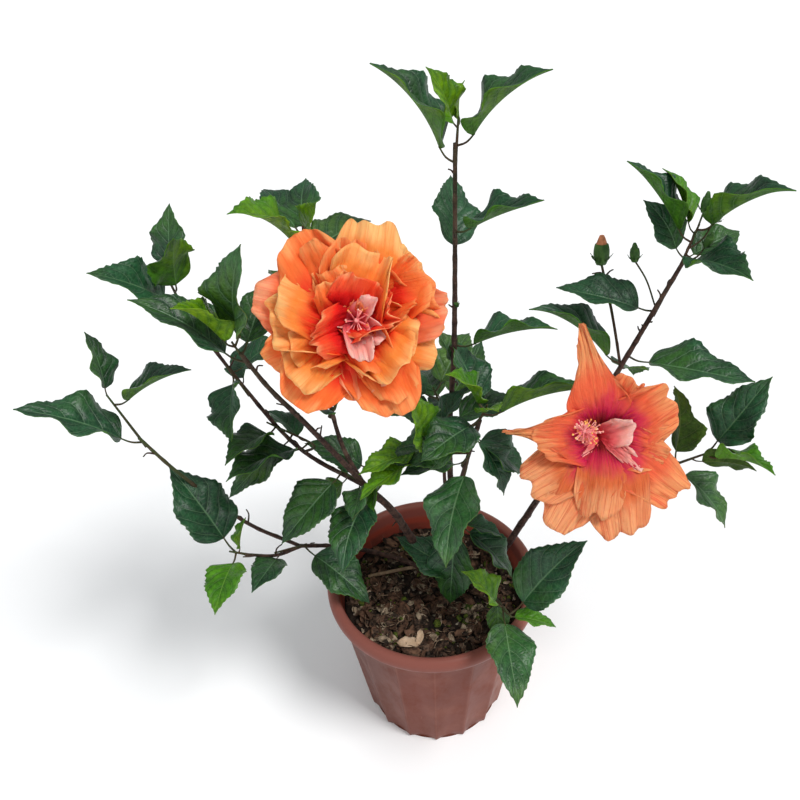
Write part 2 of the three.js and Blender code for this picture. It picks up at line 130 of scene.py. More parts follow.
# Shoots: the twig's two ends, then its leaves as how far along the twig,
# heading, rise, length, how the blade is held, and tone.
SHOOTS = {
    "top_tip": ((26, 40, 588), (28, 40, 620), [
        (0.1, -170, 54, 94, FOLDED, DARK), (0.9, -138, 61, 54, OPEN, YOUNG),
        (0.5, -25, 43, 88, FOLDED, DARK), (0.95, 70, 70, 30, FOLDED, YOUNG)]),
    "top_middle": ((26, 40, 510), (26, 40, 540), [
        (0.9, -30, 30, 80, FOLDED, DARK), (0.1, 90, 36, 76, FLAT, DARK)]),
    "stem_leaf": ((25, 40, 412), (27, 40, 434), [
        (0.9, -4, 14, 85, FOLDED, DARK), (0, 132, 49, 36, OPEN, FULL)]),
    "centre_crown": ((38, -4, 368), (48, -12, 404), [
        (0.95, 108, 20, 76, OPEN, DARK), (1, -153, 55, 60, FOLDED, YOUNG), (0.7, -133, 2, 74, FLAT, DARK),
        (0.8, -11, 24, 96, FOLDED, DARK), (0.1, 14, -50, 76, OPEN, DARK), (0.2, -34, -62, 68, OPEN, DARK),
        (0.9, -75, 40, 40, LEVEL, YOUNG), (0.5, -170, -20, 84, FLAT, DARK)]),
    "centre_young": ((8, -4, 350), (-2, -12, 366), [
        (0.9, -112, 70, 74, OPEN, YOUNG), (0.7, -150, -18, 74, OPEN, YOUNG)]),
    "fork_leaf": ((-42, 2, 312), (-50, 4, 326), [
        (0.9, 172, 26, 66, FLAT, DARK), (0.5, -96, -10, 40, OPEN, YOUNG)]),
    "centre_left": ((20, 31, 345), (-4, -10, 364), [
        (0.9, -154, -5, 64, OPEN, YOUNG), (1, 109, 51, 50, OPEN, YOUNG), (0.6, 72, 15, 54, OPEN, DARK),
        (0.7, 37, 41, 60, OPEN, DARK)]),
    "centre_front": ((30, 6, 325), (34, -12, 352), [
        (0.9, -106, -31, 96, FLAT, FULL), (0.5, 200, 5, 60, OPEN, DARK)]),
    "centre_low": ((20, 8, 250), (30, -4, 262), [
        (0.3, -104, -70, 92, FLAT, DARK), (0.9, -20, -46, 78, OPEN, DARK), (0.8, 0, -26, 46, OPEN, DARK)]),
    "soil_leaf": ((40, -6, 176), (38, -8, 188), [
        (0.9, 163, 28, 84, FLAT, DARK)]),
    "trunk_left": ((-52, -10, 312), (-76, -6, 334), [
        (0.1, -106, -19, 80, FLAT, DARK), (0.4, -96, 0, 45, FLAT, FULL), (1, -136, -25, 82, FLAT, DARK),
        (0.8, -159, -48, 56, LEVEL, FULL)]),
    "left_inner": ((-100, 2, 358), (-136, 14, 372), [
        (0.1, -137, 8, 84, OPEN, DARK), (0.2, 135, 6, 55, OPEN, DARK), (0.9, -119, 11, 68, OPEN, DARK),
        (0.5, -139, -22, 76, LEVEL, FULL)]),
    "under_bloom": ((-84, 8, 384), (-78, 2, 398), [
        (0.5, 130, 4, 62, OPEN, DARK), (0.6, 79, -7, 62, OPEN, DARK), (0.8, -120, 40, 50, OPEN, DARK)]),
    "low_left_fork": ((-120, 0, 232), (-141, -28, 254), [
        (0.1, -32, -27, 84, FLAT, DARK), (0.9, -107, 13, 60, FLAT, DARK)]),
    "low_left_tip": ((-160, -42, 266), (-174, -50, 280), [
        (0.9, 143, 46, 96, FLAT, DARK), (0.9, -95, 3, 68, FLAT, YOUNG), (0.8, 60, 60, 34, FOLDED, YOUNG)]),
    "far_left": ((-236, -20, 380), (-256, -14, 426), [
        (0.1, -166, 34, 102, OPEN, DARK), (0.9, 2, 26, 76, FOLDED, DARK), (1, 117, 60, 58, OPEN, DARK)]),
    "upper_left_tip": ((-196, 38, 474), (-204, 40, 506), [
        (1, 77, 64, 58, FLAT, DARK), (0.6, -60, 58, 78, AWAY, DARK), (0.3, -130, 42, 88, OPEN, DARK)]),
    "upper_left": ((-132, -35, 468), (-139, -38, 490), [
        (0.3, 179, 38, 94, OPEN, DARK), (1, -26, 77, 88, OPEN, FULL), (1, -135, 55, 66, CLOSED, YOUNG),
        (0.6, 70, 32, 66, FLAT, DARK)]),
    "outer_left": ((-152, 20, 400), (-166, 26, 424), [
        (0.9, -83, -14, 72, OPEN, DARK), (0.4, 94, 9, 58, OPEN, DARK), (0.9, 20, 20, 58, OPEN, DARK)]),
    "behind_bloom_left": ((-88, 10, 526), (-86, 10, 556), [
        (0.7, -133, 40, 74, FOLDED, YOUNG), (0.9, 121, 13, 70, FLAT, DARK), (0.9, 92, 19, 62, FLAT, DARK),
        (1, -58, 50, 42, OPEN, YOUNG), (0.4, 50, 1, 74, OPEN, FULL)]),
    "back_left": ((-85, 10, 444), (-92, 38, 462), [
        (0.6, 70, 0, 76, OPEN, DARK), (1, 125, 16, 74, OPEN, FULL), (0.9, 28, 8, 70, OPEN, DARK)]),
    "right_tip": ((204, 45, 494), (211, 42, 530), [
        (0.7, 160, 49, 82, FOLDED, DARK), (0.9, 130, 53, 56, FOLDED, YOUNG), (1, -53, 42, 86, CLOSED, DARK),
        (0.3, 139, 44, 56, FLAT, DARK), (0.4, -72, 15, 78, OPEN, DARK), (0.3, 28, 10, 58, FLAT, DARK)]),
    "right_leaf": ((190, 44, 452), (194, 45, 462), [
        (0.5, 164, 9, 84, OPEN, DARK)]),
    "right_middle": ((168, 39, 402), (176, 41, 420), [
        (0.3, 168, 33, 96, FOLDED, DARK), (0.7, -26, 2, 102, OPEN, DARK), (0.2, 60, -38, 64, LEVEL, DARK)]),
    "right_side": ((222, 12, 313), (246, 2, 336), [
        (0.1, 140, 80, 84, AWAY_STEEP, FULL), (0.5, -40, 20, 58, AWAY_SLIGHT, FULL),
        (0.9, 17, 59, 86, FLAT, DARK), (0.9, -55, 22, 68, FOLDED, YOUNG),
        (0.1, -30, -44, 78, OPEN, FULL)]),
    "right_back": ((148, 28, 294), (170, 34, 306), [
        (0.2, -79, -8, 70, OPEN, DARK), (0.6, -43, -44, 74, OPEN, FULL), (0.6, 66, 6, 78, LEVEL, DARK),
        (1, 35, 30, 74, LEVEL, FULL)]),
    "low_right": ((56, -30, 192), (68, -78, 220), [
        (0.7, 170, 52, 58, OPEN, YOUNG), (1, 20, 46, 98, FLAT, DARK), (1, -6, -14, 44, OPEN, YOUNG),
        (0.7, -86, -9, 90, FLAT, FULL), (0.4, -92, -66, 40, LEVEL, FULL)]),
    "back": ((18, 92, 288), (20, 108, 314), [
        (0.4, 170, 12, 82, LEVEL, DARK), (0.5, 12, 8, 82, LEVEL, DARK), (1, 128, 26, 78, LEVEL, FULL),
        (1, 55, 30, 78, LEVEL, FULL), (0.7, 88, -26, 76, LEVEL, DARK)]),
    "back_centre": ((20, 34, 350), (8, 62, 366), [
        (0.8, 150, 10, 76, LEVEL, DARK), (1, 62, 18, 78, LEVEL, FULL), (0.9, 100, -14, 72, LEVEL, DARK)]),
}

# Shoots inside a mass that another shoot already stands for.
EXTRA_SHOOTS = ("centre_young", "fork_leaf", "soil_leaf")


# ---------------------------------------------------------------- small helpers
def towards(heading, rise):
    turn, lift = math.radians(heading), math.radians(rise)
    return Vector((math.cos(turn) * math.cos(lift), math.sin(turn) * math.cos(lift), math.sin(lift)))


def ease(value, low, high):
    share = min(max((value - low) / (high - low), 0.0), 1.0)
    return share * share * (3 - 2 * share)


def mixed(first, second, share):
    return first + (second - first) * share


def finished(name, bm, materials, smooth=True):
    """Turns a bmesh into a piece that rides on the plant's one body."""
    mesh = bpy.data.meshes.new(name)
    bm.to_mesh(mesh)
    bm.free()
    for made in materials:
        mesh.materials.append(made)
    for face in mesh.polygons:
        face.use_smooth = smooth
    piece = bpy.data.objects.new(name, mesh)
    bpy.context.scene.collection.objects.link(piece)
    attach(piece, "root")
    return piece


def thicken(piece, thickness, under=0):
    """Gives a sheet its thickness below its upper face."""
    wall = piece.modifiers.new("thickness", "SOLIDIFY")
    wall.thickness = thickness * MM
    wall.offset = -1
    wall.material_offset = under
    wall.material_offset_rim = under


# ---------------------------------------------------------------- materials
def add_node(tree, kind, inputs=None, **settings):
    node = tree.nodes.new(kind)
    for key, value in settings.items():
        setattr(node, key, value)
    for key, value in (inputs or {}).items():
        if isinstance(value, bpy.types.NodeSocket):
            tree.links.new(value, node.inputs[key])
        else:
            node.inputs[key].default_value = value
    return node


def reckon(tree, operation, *values):
    return add_node(tree, "ShaderNodeMath", dict(enumerate(values)), operation=operation).outputs[0]


def spread(tree, value, low, high, start=0.0, end=1.0):
    inputs = {"Value": value, "From Min": low, "From Max": high, "To Min": start, "To Max": end}
    return add_node(tree, "ShaderNodeMapRange", inputs, interpolation_type="SMOOTHSTEP").outputs[0]


def blended(tree, share, first, second, way="MIX"):
    node = add_node(tree, "ShaderNodeMix", {0: share, 6: first, 7: second}, data_type="RGBA", blend_type=way)
    return node.outputs[2]


def grain(tree, place, scale, detail=3.0, roughness=0.5):
    inputs = {"Vector": place, "Scale": scale, "Detail": detail, "Roughness": roughness}
    return add_node(tree, "ShaderNodeTexNoise", inputs).outputs["Fac"]


def stretched(tree, place, scale):
    return add_node(tree, "ShaderNodeMapping", {"Vector": place, "Scale": scale}).outputs[0]


def embossed(tree, height, strength, distance):
    inputs = {"Height": height, "Strength": strength, "Distance": distance}
    return add_node(tree, "ShaderNodeBump", inputs).outputs[0]


def new_material(name, roughness, specular=0.5):
    made = bpy.data.materials.new(name)
    made.use_nodes = True
    shader = made.node_tree.nodes["Principled BSDF"]
    shader.inputs["Roughness"].default_value = roughness
    shader.inputs["Specular IOR Level"].default_value = specular
    return made, made.node_tree, shader


def place_on_plant(tree):
    return add_node(tree, "ShaderNodeTexCoord").outputs["Object"]


def place_on_piece(tree):
    return add_node(tree, "ShaderNodeTexCoord").outputs["UV"]


def colour(red, green, blue):
    return (red, green, blue, 1.0)


def leaf_material(name, blade, shade, vein, vein_share, roughness, relief, shine):
    """A blade with a midrib, curving side veins, a fine net, blotches, painted light on the bulges between
    the veins and a painted highlight along its edge.
    """
    made, tree, shader = new_material(name, roughness, shine)
    place = place_on_plant(tree)
    uv = place_on_piece(tree)
    parts = add_node(tree, "ShaderNodeSeparateXYZ", {0: uv})
    side = reckon(tree, "ABSOLUTE", reckon(tree, "MULTIPLY_ADD", parts.outputs[0], 2.0, -1.0))
    bowed = reckon(tree, "MULTIPLY", reckon(tree, "POWER", side, 1.25), VEIN_SWEEP)
    wander = reckon(tree, "MULTIPLY_ADD", grain(tree, place, 40.0, 2.0), 0.05, -0.025)
    along = reckon(tree, "ADD", reckon(tree, "SUBTRACT", parts.outputs[1], bowed), wander)
    gap = reckon(tree, "PINGPONG", reckon(tree, "MULTIPLY", along, SIDE_VEINS), 0.5)
    side_vein = spread(tree, gap, 0.0, 0.055, 0.75, 0.0)
    midrib = spread(tree, side, 0.01, 0.05, 1.0, 0.0)
    # A painted highlight: a thin pale line along the blade's edge.
    margin_painted_highlight = spread(tree, side, 0.96, 0.995, 0.0, 0.6)
    branched = reckon(tree, "MAXIMUM", midrib, side_vein)
    cells = {"Vector": stretched(tree, uv, (9.0, 22.0, 1.0)), "Scale": 1.0}
    net = add_node(tree, "ShaderNodeTexVoronoi", cells, feature="DISTANCE_TO_EDGE").outputs["Distance"]
    threads = spread(tree, net, 0.0, 0.07, 0.3, 0.0)
    veins = reckon(tree, "MAXIMUM", reckon(tree, "MAXIMUM", branched, margin_painted_highlight), threads)
    patches = spread(tree, grain(tree, place, 34.0, 4.0, 0.6), 0.34, 0.64)
    # Painted light and shade: the blade is lighter on the quilted bulges between the side veins and darker
    # along the veins.
    hollow = spread(tree, gap, 0.0, 0.4, 0.0, 0.45)
    warm = colour(blade[0] * 2.0, blade[1] * 1.25, blade[2] * 0.45)
    fresh = blended(tree, spread(tree, grain(tree, place, 13.0, 1.0), 0.45, 0.62), blade, warm)
    lightness = reckon(tree, "ADD", reckon(tree, "MULTIPLY", patches, 0.7), hollow)
    mottled = blended(tree, lightness, shade, fresh)
    fine = spread(tree, grain(tree, place, 300.0, 4.0), 0.3, 0.75, 0.75, 1.2)
    grey = add_node(tree, "ShaderNodeCombineColor", {0: fine, 1: fine, 2: fine}).outputs[0]
    speckled = blended(tree, 1.0, mottled, grey, "MULTIPLY")
    tinted = blended(tree, reckon(tree, "MULTIPLY", veins, vein_share), speckled, vein)
    tree.links.new(tinted, shader.inputs["Base Color"])
    puffed = spread(tree, net, 0.0, 0.3, 0.0, 0.5)
    quilt = reckon(tree, "MULTIPLY_ADD", puffed, 1.0, spread(tree, gap, 0.0, 0.3, 0.0, 0.8))
    height = reckon(tree, "MULTIPLY_ADD", branched, relief, quilt)
    tree.links.new(embossed(tree, height, 0.45, 0.0008), shader.inputs["Normal"])
    return made


def petal_material(name, throat, heart, body, edge, streak, hot=(0.1, 0.36, 0.72), ribbed=0.45):
    """Colour runs from the throat to the edge, with fine ribs along the petal."""
    made, tree, shader = new_material(name, 0.62, 0.18)
    shader.inputs["Subsurface Weight"].default_value = 0.22
    shader.inputs["Subsurface Scale"].default_value = 0.004
    place = place_on_plant(tree)
    uv = place_on_piece(tree)
    along = add_node(tree, "ShaderNodeSeparateXYZ", {0: uv}).outputs[1]
    drift = reckon(tree, "MULTIPLY_ADD", grain(tree, stretched(tree, uv, (5.0, 1.2, 1.0)), 1.0), 0.36, -0.18)
    patch = reckon(tree, "MULTIPLY_ADD", grain(tree, place, 38.0, 2.0), 0.3, -0.15)
    reach = reckon(tree, "ADD", reckon(tree, "ADD", along, drift), patch)
    inner = blended(tree, spread(tree, reach, hot[0], hot[1]), throat, heart)
    middle = blended(tree, spread(tree, reach, hot[1] - 0.1, hot[2]), inner, body)
    outer = blended(tree, spread(tree, reach, hot[2], 1.05), middle, edge)
    ribs = grain(tree, stretched(tree, uv, (46.0, 1.6, 1.0)), 1.0, 5.0, 0.65)
    veined = blended(tree, spread(tree, ribs, 0.48, 0.66, 0.0, ribbed), outer, streak)
    pale = spread(tree, grain(tree, stretched(tree, uv, (22.0, 2.2, 1.0)), 1.0, 4.0), 0.6, 0.8, 0.0, 0.4)
    lit = blended(tree, reckon(tree, "MULTIPLY", pale, along), veined, edge)
    tree.links.new(lit, shader.inputs["Base Color"])
    crumple = grain(tree, place, 170.0, 4.0, 0.6)
    height = reckon(tree, "MULTIPLY_ADD", crumple, 0.7, ribs)
    tree.links.new(embossed(tree, height, ribbed + 0.2, 0.002), shader.inputs["Normal"])
    return made


def bark_material():
    """Old wood at UV height 0 turning to a green shoot at 1."""
    made, tree, shader = new_material("bark", 0.72, 0.3)
    place = place_on_plant(tree)
    age = add_node(tree, "ShaderNodeSeparateXYZ", {0: place_on_piece(tree)}).outputs[1]
    cork = blended(tree, spread(tree, grain(tree, place, 170.0, 5.0, 0.65), 0.36, 0.66),
                   colour(0.022, 0.009, 0.007), colour(0.085, 0.042, 0.03))
    rubbed = spread(tree, grain(tree, place, 45.0, 3.0), 0.56, 0.72, 0.0, 0.5)
    worn = blended(tree, rubbed, cork, colour(0.17, 0.11, 0.08))
    shoot = blended(tree, spread(tree, grain(tree, place, 90.0), 0.35, 0.7),
                    colour(0.04, 0.065, 0.015), colour(0.07, 0.035, 0.016))
    skin = blended(tree, spread(tree, age, 0.3, 0.95), worn, shoot)
    pores = spread(tree, grain(tree, place, 900.0, 1.0), 0.66, 0.74)
    dotted = blended(tree, reckon(tree, "MULTIPLY", pores, 0.45), skin, colour(0.3, 0.23, 0.17))
    tree.links.new(dotted, shader.inputs["Base Color"])
    rough = reckon(tree, "ADD", grain(tree, place, 420.0, 5.0, 0.7), reckon(tree, "MULTIPLY", pores, 0.6))
    tree.links.new(embossed(tree, rough, 0.55, 0.0009), shader.inputs["Normal"])
    return made


def pot_material(name, clay, pale_clay_and_painted_light, dust_share):
    """Moulded brown plastic: painted light on the panels of its right side and painted shade on its left,
    paler clouds and lip, dust low down, fine scuffs.
    """
    made, tree, shader = new_material(name, 0.5, 0.1)
    place = place_on_plant(tree)
    parts = add_node(tree, "ShaderNodeSeparateXYZ", {0: place})
    sideways, height = parts.outputs[0], parts.outputs[2]
    around = reckon(tree, "ARCTAN2", parts.outputs[1], sideways)
    panel = reckon(tree, "MULTIPLY", around, PANELS / (2 * math.pi))
    number = reckon(tree, "FLOOR", panel)
    # Each panel's own random number moves the edge of the painted light and painted shade a little, so each
    # panel reads as a facet lit on its own.
    own = add_node(tree, "ShaderNodeTexWhiteNoise", {"W": number}, noise_dimensions="1D").outputs["Value"]
    below_rim = spread(tree, height, 0.160, 0.166, 1.0, 0.0)
    shift = reckon(tree, "MULTIPLY", spread(tree, own, 0.0, 1.0, -0.03, 0.03), below_rim)
    shifted = reckon(tree, "ADD", sideways, shift)
    # Painted light: the right side turns to the lighter clay as if lit from the right, and painted shade
    # darkens the left side further down.
    sunny = spread(tree, shifted, 0.02, 0.07)
    cloud = spread(tree, grain(tree, place, 24.0, 4.0, 0.55), 0.42, 0.75, 0.0, 0.22)
    lip = spread(tree, height, 0.166, 0.172, 0.0, 0.4)
    body = blended(tree, reckon(tree, "MAXIMUM", reckon(tree, "MAXIMUM", sunny, cloud), lip), clay, pale_clay_and_painted_light)
    shaded = reckon(tree, "MULTIPLY", spread(tree, shifted, -0.065, -0.01, 0.7, 0.0), below_rim)
    base = blended(tree, shaded, body, colour(0.09, 0.032, 0.024))
    low = spread(tree, height, 0.0, 0.13, 1.0, 0.1)
    specks = grain(tree, stretched(tree, place, (60.0, 60.0, 30.0)), 1.0, 5.0, 0.65)
    film = spread(tree, specks, 0.3, 0.8, 0.0, dust_share)
    dust = reckon(tree, "MULTIPLY", reckon(tree, "ADD", film, 0.08), low)
    dusty = blended(tree, dust, base, colour(0.16, 0.07, 0.052))
    scratch = grain(tree, stretched(tree, place, (220.0, 220.0, 60.0)), 1.0, 3.0)
    scuffed = blended(tree, spread(tree, scratch, 0.68, 0.8, 0.0, 0.22), dusty, colour(0.36, 0.19, 0.14))
    near_ridge = spread(tree, reckon(tree, "PINGPONG", panel, 0.5), 0.0, 0.04, 0.12, 0.0)
    ridge = reckon(tree, "MULTIPLY", near_ridge, below_rim)
    edged = blended(tree, ridge, scuffed, colour(0.4, 0.17, 0.12))
    rim = spread(tree, height, 0.167, 0.173, 0.0, 0.7)
    rolled = blended(tree, rim, edged, colour(0.2, 0.066, 0.055))
    tree.links.new(rolled, shader.inputs["Base Color"])
    tree.links.new(spread(tree, film, 0.0, 0.5, 0.38, 0.75), shader.inputs["Roughness"])
    tree.links.new(embossed(tree, grain(tree, place, 240.0, 4.0), 0.12, 0.0006), shader.inputs["Normal"])
    return made


def litter_material(name, dark, light, scale=140.0):
    """Dry or damp plant litter, from a dark to a light brown."""
    made, tree, shader = new_material(name, 0.88, 0.2)
    place = place_on_plant(tree)
    mottle = spread(tree, grain(tree, place, scale, 5.0, 0.7), 0.34, 0.68)
    tree.links.new(blended(tree, mottle, dark, light), shader.inputs["Base Color"])
    tree.links.new(embossed(tree, grain(tree, place, scale * 5, 4.0), 0.6, 0.001), shader.inputs["Normal"])
    return made


def plain_material(name, dark, light, roughness, scale=200.0):
    """A smooth skin that drifts between two tones."""
    made, tree, shader = new_material(name, roughness, 0.35)
    place = place_on_plant(tree)
    tone = spread(tree, grain(tree, place, scale), 0.3, 0.7)
    tree.links.new(blended(tree, tone, dark, light), shader.inputs["Base Color"])
    tree.links.new(embossed(tree, grain(tree, place, scale * 4), 0.2, 0.0004), shader.inputs["Normal"])
    return made


# Each tone of leaf, as its face and then its back.
LEAF_TONES = [
    leaf_material("leaf_dark_face", colour(0.013, 0.078, 0.026), colour(0.003, 0.022, 0.01),
                  colour(0.13, 0.26, 0.12), vein_share=0.6, roughness=0.42, relief=-1.0, shine=0.38),
    leaf_material("leaf_dark_back", colour(0.045, 0.16, 0.006), colour(0.018, 0.08, 0.004),
                  colour(0.12, 0.26, 0.05), vein_share=0.5, roughness=0.55, relief=1.0, shine=0.15),
    leaf_material("leaf_full_face", colour(0.03, 0.115, 0.028), colour(0.008, 0.045, 0.014),
                  colour(0.16, 0.29, 0.13), vein_share=0.6, roughness=0.42, relief=-1.0, shine=0.38),
    leaf_material("leaf_full_back", colour(0.048, 0.1, 0.008), colour(0.02, 0.05, 0.004),
                  colour(0.15, 0.19, 0.05), vein_share=0.5, roughness=0.55, relief=1.0, shine=0.15),
    leaf_material("leaf_young_face", colour(0.065, 0.22, 0.005), colour(0.02, 0.11, 0.003),
                  colour(0.2, 0.38, 0.06), vein_share=0.5, roughness=0.42, relief=-1.0, shine=0.3),
    leaf_material("leaf_young_back", colour(0.085, 0.24, 0.008), colour(0.04, 0.13, 0.004),
                  colour(0.22, 0.36, 0.06), vein_share=0.5, roughness=0.5, relief=1.0, shine=0.15),
]
BARK = bark_material()
POT_OUTSIDE = pot_material("pot_plastic", colour(0.17, 0.042, 0.026), colour(0.4, 0.16, 0.105), 0.3)
POT_INSIDE = pot_material("pot_plastic_inside", colour(0.3, 0.05, 0.03), colour(0.38, 0.085, 0.055), 0.25)


# ---------------------------------------------------------------- shapes
def smooth_path(points, spacing):
    """A smooth line through the points, in metres, with even steps."""
    knots = [Vector(point) * MM for point in points]
    ends = [knots[0] * 2 - knots[1]] + knots + [knots[-1] * 2 - knots[-2]]
    path = []
    for before, first, second, after in zip(ends, ends[1:], ends[2:], ends[3:]):
        steps = max(2, round((second - first).length / (spacing * MM)))
        for step in range(steps):
            t = step / steps
            bend = (before * -1 + first * 3 - second * 3 + after) * t ** 3
            lean = (before * 2 - first * 5 + second * 4 - after) * t ** 2
            path.append((bend + lean + (second - before) * t + first * 2) * 0.5)
    path.append(knots[-1])
    return path


def laid_on(faces, uv, where, slot):
    """Gives new faces their material and the place of each corner on the piece."""
    for face in faces:
        face.material_index = slot
        for loop in face.loops:
            loop[uv].uv = where[loop.vert]


def faces_of(made):
    """The faces of a new shape, each once and in the same order every run."""
    return list(dict.fromkeys(face for vert in made["verts"] for face in vert.link_faces))


def tube(bm, path, radius, sides, ages=(0, 1), slot=0):
    """A closed tube along a path: a grid rolled round it, with both ends drawn to a point."""
    uv = bm.loops.layers.uv.verify()
    rows = len(path) + 1
    made = bmesh.ops.create_grid(bm, x_segments=sides, y_segments=rows, size=1.0)
    cross = None
    rings = []
    for index, point in enumerate(path):
        ahead = (path[min(index + 1, len(path) - 1)] - path[max(index - 1, 0)]).normalized()
        guess = cross if cross else ahead.orthogonal()
        cross = (guess - ahead * guess.dot(ahead)).normalized()
        rings.append((point, cross, ahead.cross(cross), ahead))
    where = {}
    for vert in made["verts"]:
        row = round((vert.co.y + 1) / 2 * rows)
        column = round((vert.co.x + 1) / 2 * sides)
        ring = min(max(row - 1, 0), len(path) - 1)
        point, first, second, ahead = rings[ring]
        angle = 2 * math.pi * column / sides
        share = ring / (len(path) - 1)
        reach = 0.0 if row in (0, rows) else radius(share, angle)
        vert.co = point + first * math.cos(angle) * reach + second * math.sin(angle) * reach
        where[vert] = (column / sides, mixed(ages[0], ages[1], share))
    laid_on(faces_of(made), uv, where, slot)
    bmesh.ops.remove_doubles(bm, verts=made["verts"], dist=1e-6)


def even_tube(bm, points, spacing, radius, sides, ages=(0, 1)):
    """A tube of one thickness, in mm, along a smooth line through the points."""
    tube(bm, smooth_path(points, spacing), lambda share, angle: radius * MM, sides, ages)


def tapered_tube(bm, points, spacing, thick, thin, sides, ages):
    """A tube that thins from its foot to its tip, in mm, along a smooth line."""
    tube(bm, smooth_path(points, spacing), lambda share, angle: mixed(thick, thin, share) * MM, sides, ages)


def held_to_light(start, heading, rise, tilt, chance):
    """The ways along, across and out of a blade that turns its face to the window."""
    along = towards(heading, rise)
    level = towards(heading, rise + 90)
    light_way = (WINDOW - start).normalized()
    sunny = (light_way - along * light_way.dot(along)).normalized()
    to_light = math.atan2(level.cross(sunny).dot(along), level.dot(sunny))
    turn = 0.0 if tilt is None else to_light - math.copysign(math.radians(90 - tilt), to_light)
    face_way = Matrix.Rotation(turn + chance.uniform(-0.08, 0.08), 3, along) @ level
    return along, along.cross(face_way), face_way


def leaf(bm, start, heading, rise, length, held, tone, chance):
    """A toothed blade. Gives back where its stalk meets it, its way along and its way out."""
    uv = bm.loops.layers.uv.verify()
    tilt, crease = held
    along, side, face_way = held_to_light(start, heading, rise, tilt, chance)
    stalk = PETIOLE_SHARE if length > 45 else 0.12
    foot = start + along * length * stalk * MM - face_way * 0.02 * length * MM
    blade = length * (1 - stalk) * MM
    half = blade * LEAF_BREADTH / 2 * chance.uniform(0.94, 1.06)
    fold = math.radians(crease + chance.uniform(-4, 4))
    arch = chance.uniform(0.03, 0.09)
    wave = chance.uniform(0.04, 0.085)
    phase = chance.uniform(0, 1)
    hook = chance.uniform(-0.09, 0.09)
    tip_curl = chance.uniform(-0.2, 0.7)
    teeth = 13 if length > 60 else 9
    sharper = 1.5 if tone == YOUNG else 1.0
    bite = [chance.uniform(0.03, 0.075) * sharper for _ in range(2 * teeth + 2)]
    columns, rows = (12 if length > 45 else 8), teeth * 3
    made = bmesh.ops.create_grid(bm, x_segments=columns, y_segments=rows, size=1.0)
    where = {}
    for vert in made["verts"]:
        across, share = vert.co.x, (vert.co.y + 1) / 2
        row = round(share * rows)
        where[vert] = ((across + 1) / 2, share)
        outline = 3.15 * share ** 0.6 * (1 - share) ** 1.2 if 0 < share < 1 else 0.0
        outline = max(outline, 0.012)
        notch = (row % 3) / 2 * bite[row // 3 * 2 + (across > 0)]
        tooth = notch * ease(share, 0.12, 0.3) * ease(1 - share, 0.02, 0.12)
        reach = abs(across) * half * (outline + tooth * abs(across) ** 6)
        out = math.copysign(reach, across)
        quilt = abs(math.sin(math.pi * (share - VEIN_SWEEP * abs(across) ** 1.25) * SIDE_VEINS))
        puff = 0.02 * quilt * outline * math.sin(math.pi * min(abs(across) * 1.1, 1.0))
        rib = -0.006 * max(0.0, 1 - abs(across) * columns / 2)
        roll = share * 2.2 + phase + 0.25 * math.copysign(1, across)
        ripple = wave * math.sin(2 * math.pi * roll) * abs(across) ** 2
        open_out = math.radians(8) * share
        high = reach * math.sin(fold - open_out) + (puff + rib + ripple * outline) * blade
        high += arch * blade * (1 - (2 * share - 1) ** 2) - tip_curl * blade * max(0.0, share - 0.72) ** 2
        sway = hook * blade * share * (1 - share) * 2
        aside = out * math.cos(fold - open_out) + sway
        vert.co = foot + along * (share * blade) + side * aside + face_way * high
    laid_on(faces_of(made), uv, where, tone)
    return foot, along, face_way


def petal_line(lean, open_to, steps):
    """The middle line of a petal of length 1, as how far out and how far up, step by step."""
    line = [(0.0, 0.0)]
    for step in range(steps):
        tilt = math.radians(mixed(lean, open_to, ease((step + 0.5) / steps, 0.0, 0.8)))
        line.append((line[-1][0] + math.sin(tilt) / steps, line[-1][1] + math.cos(tilt) / steps))
    return line


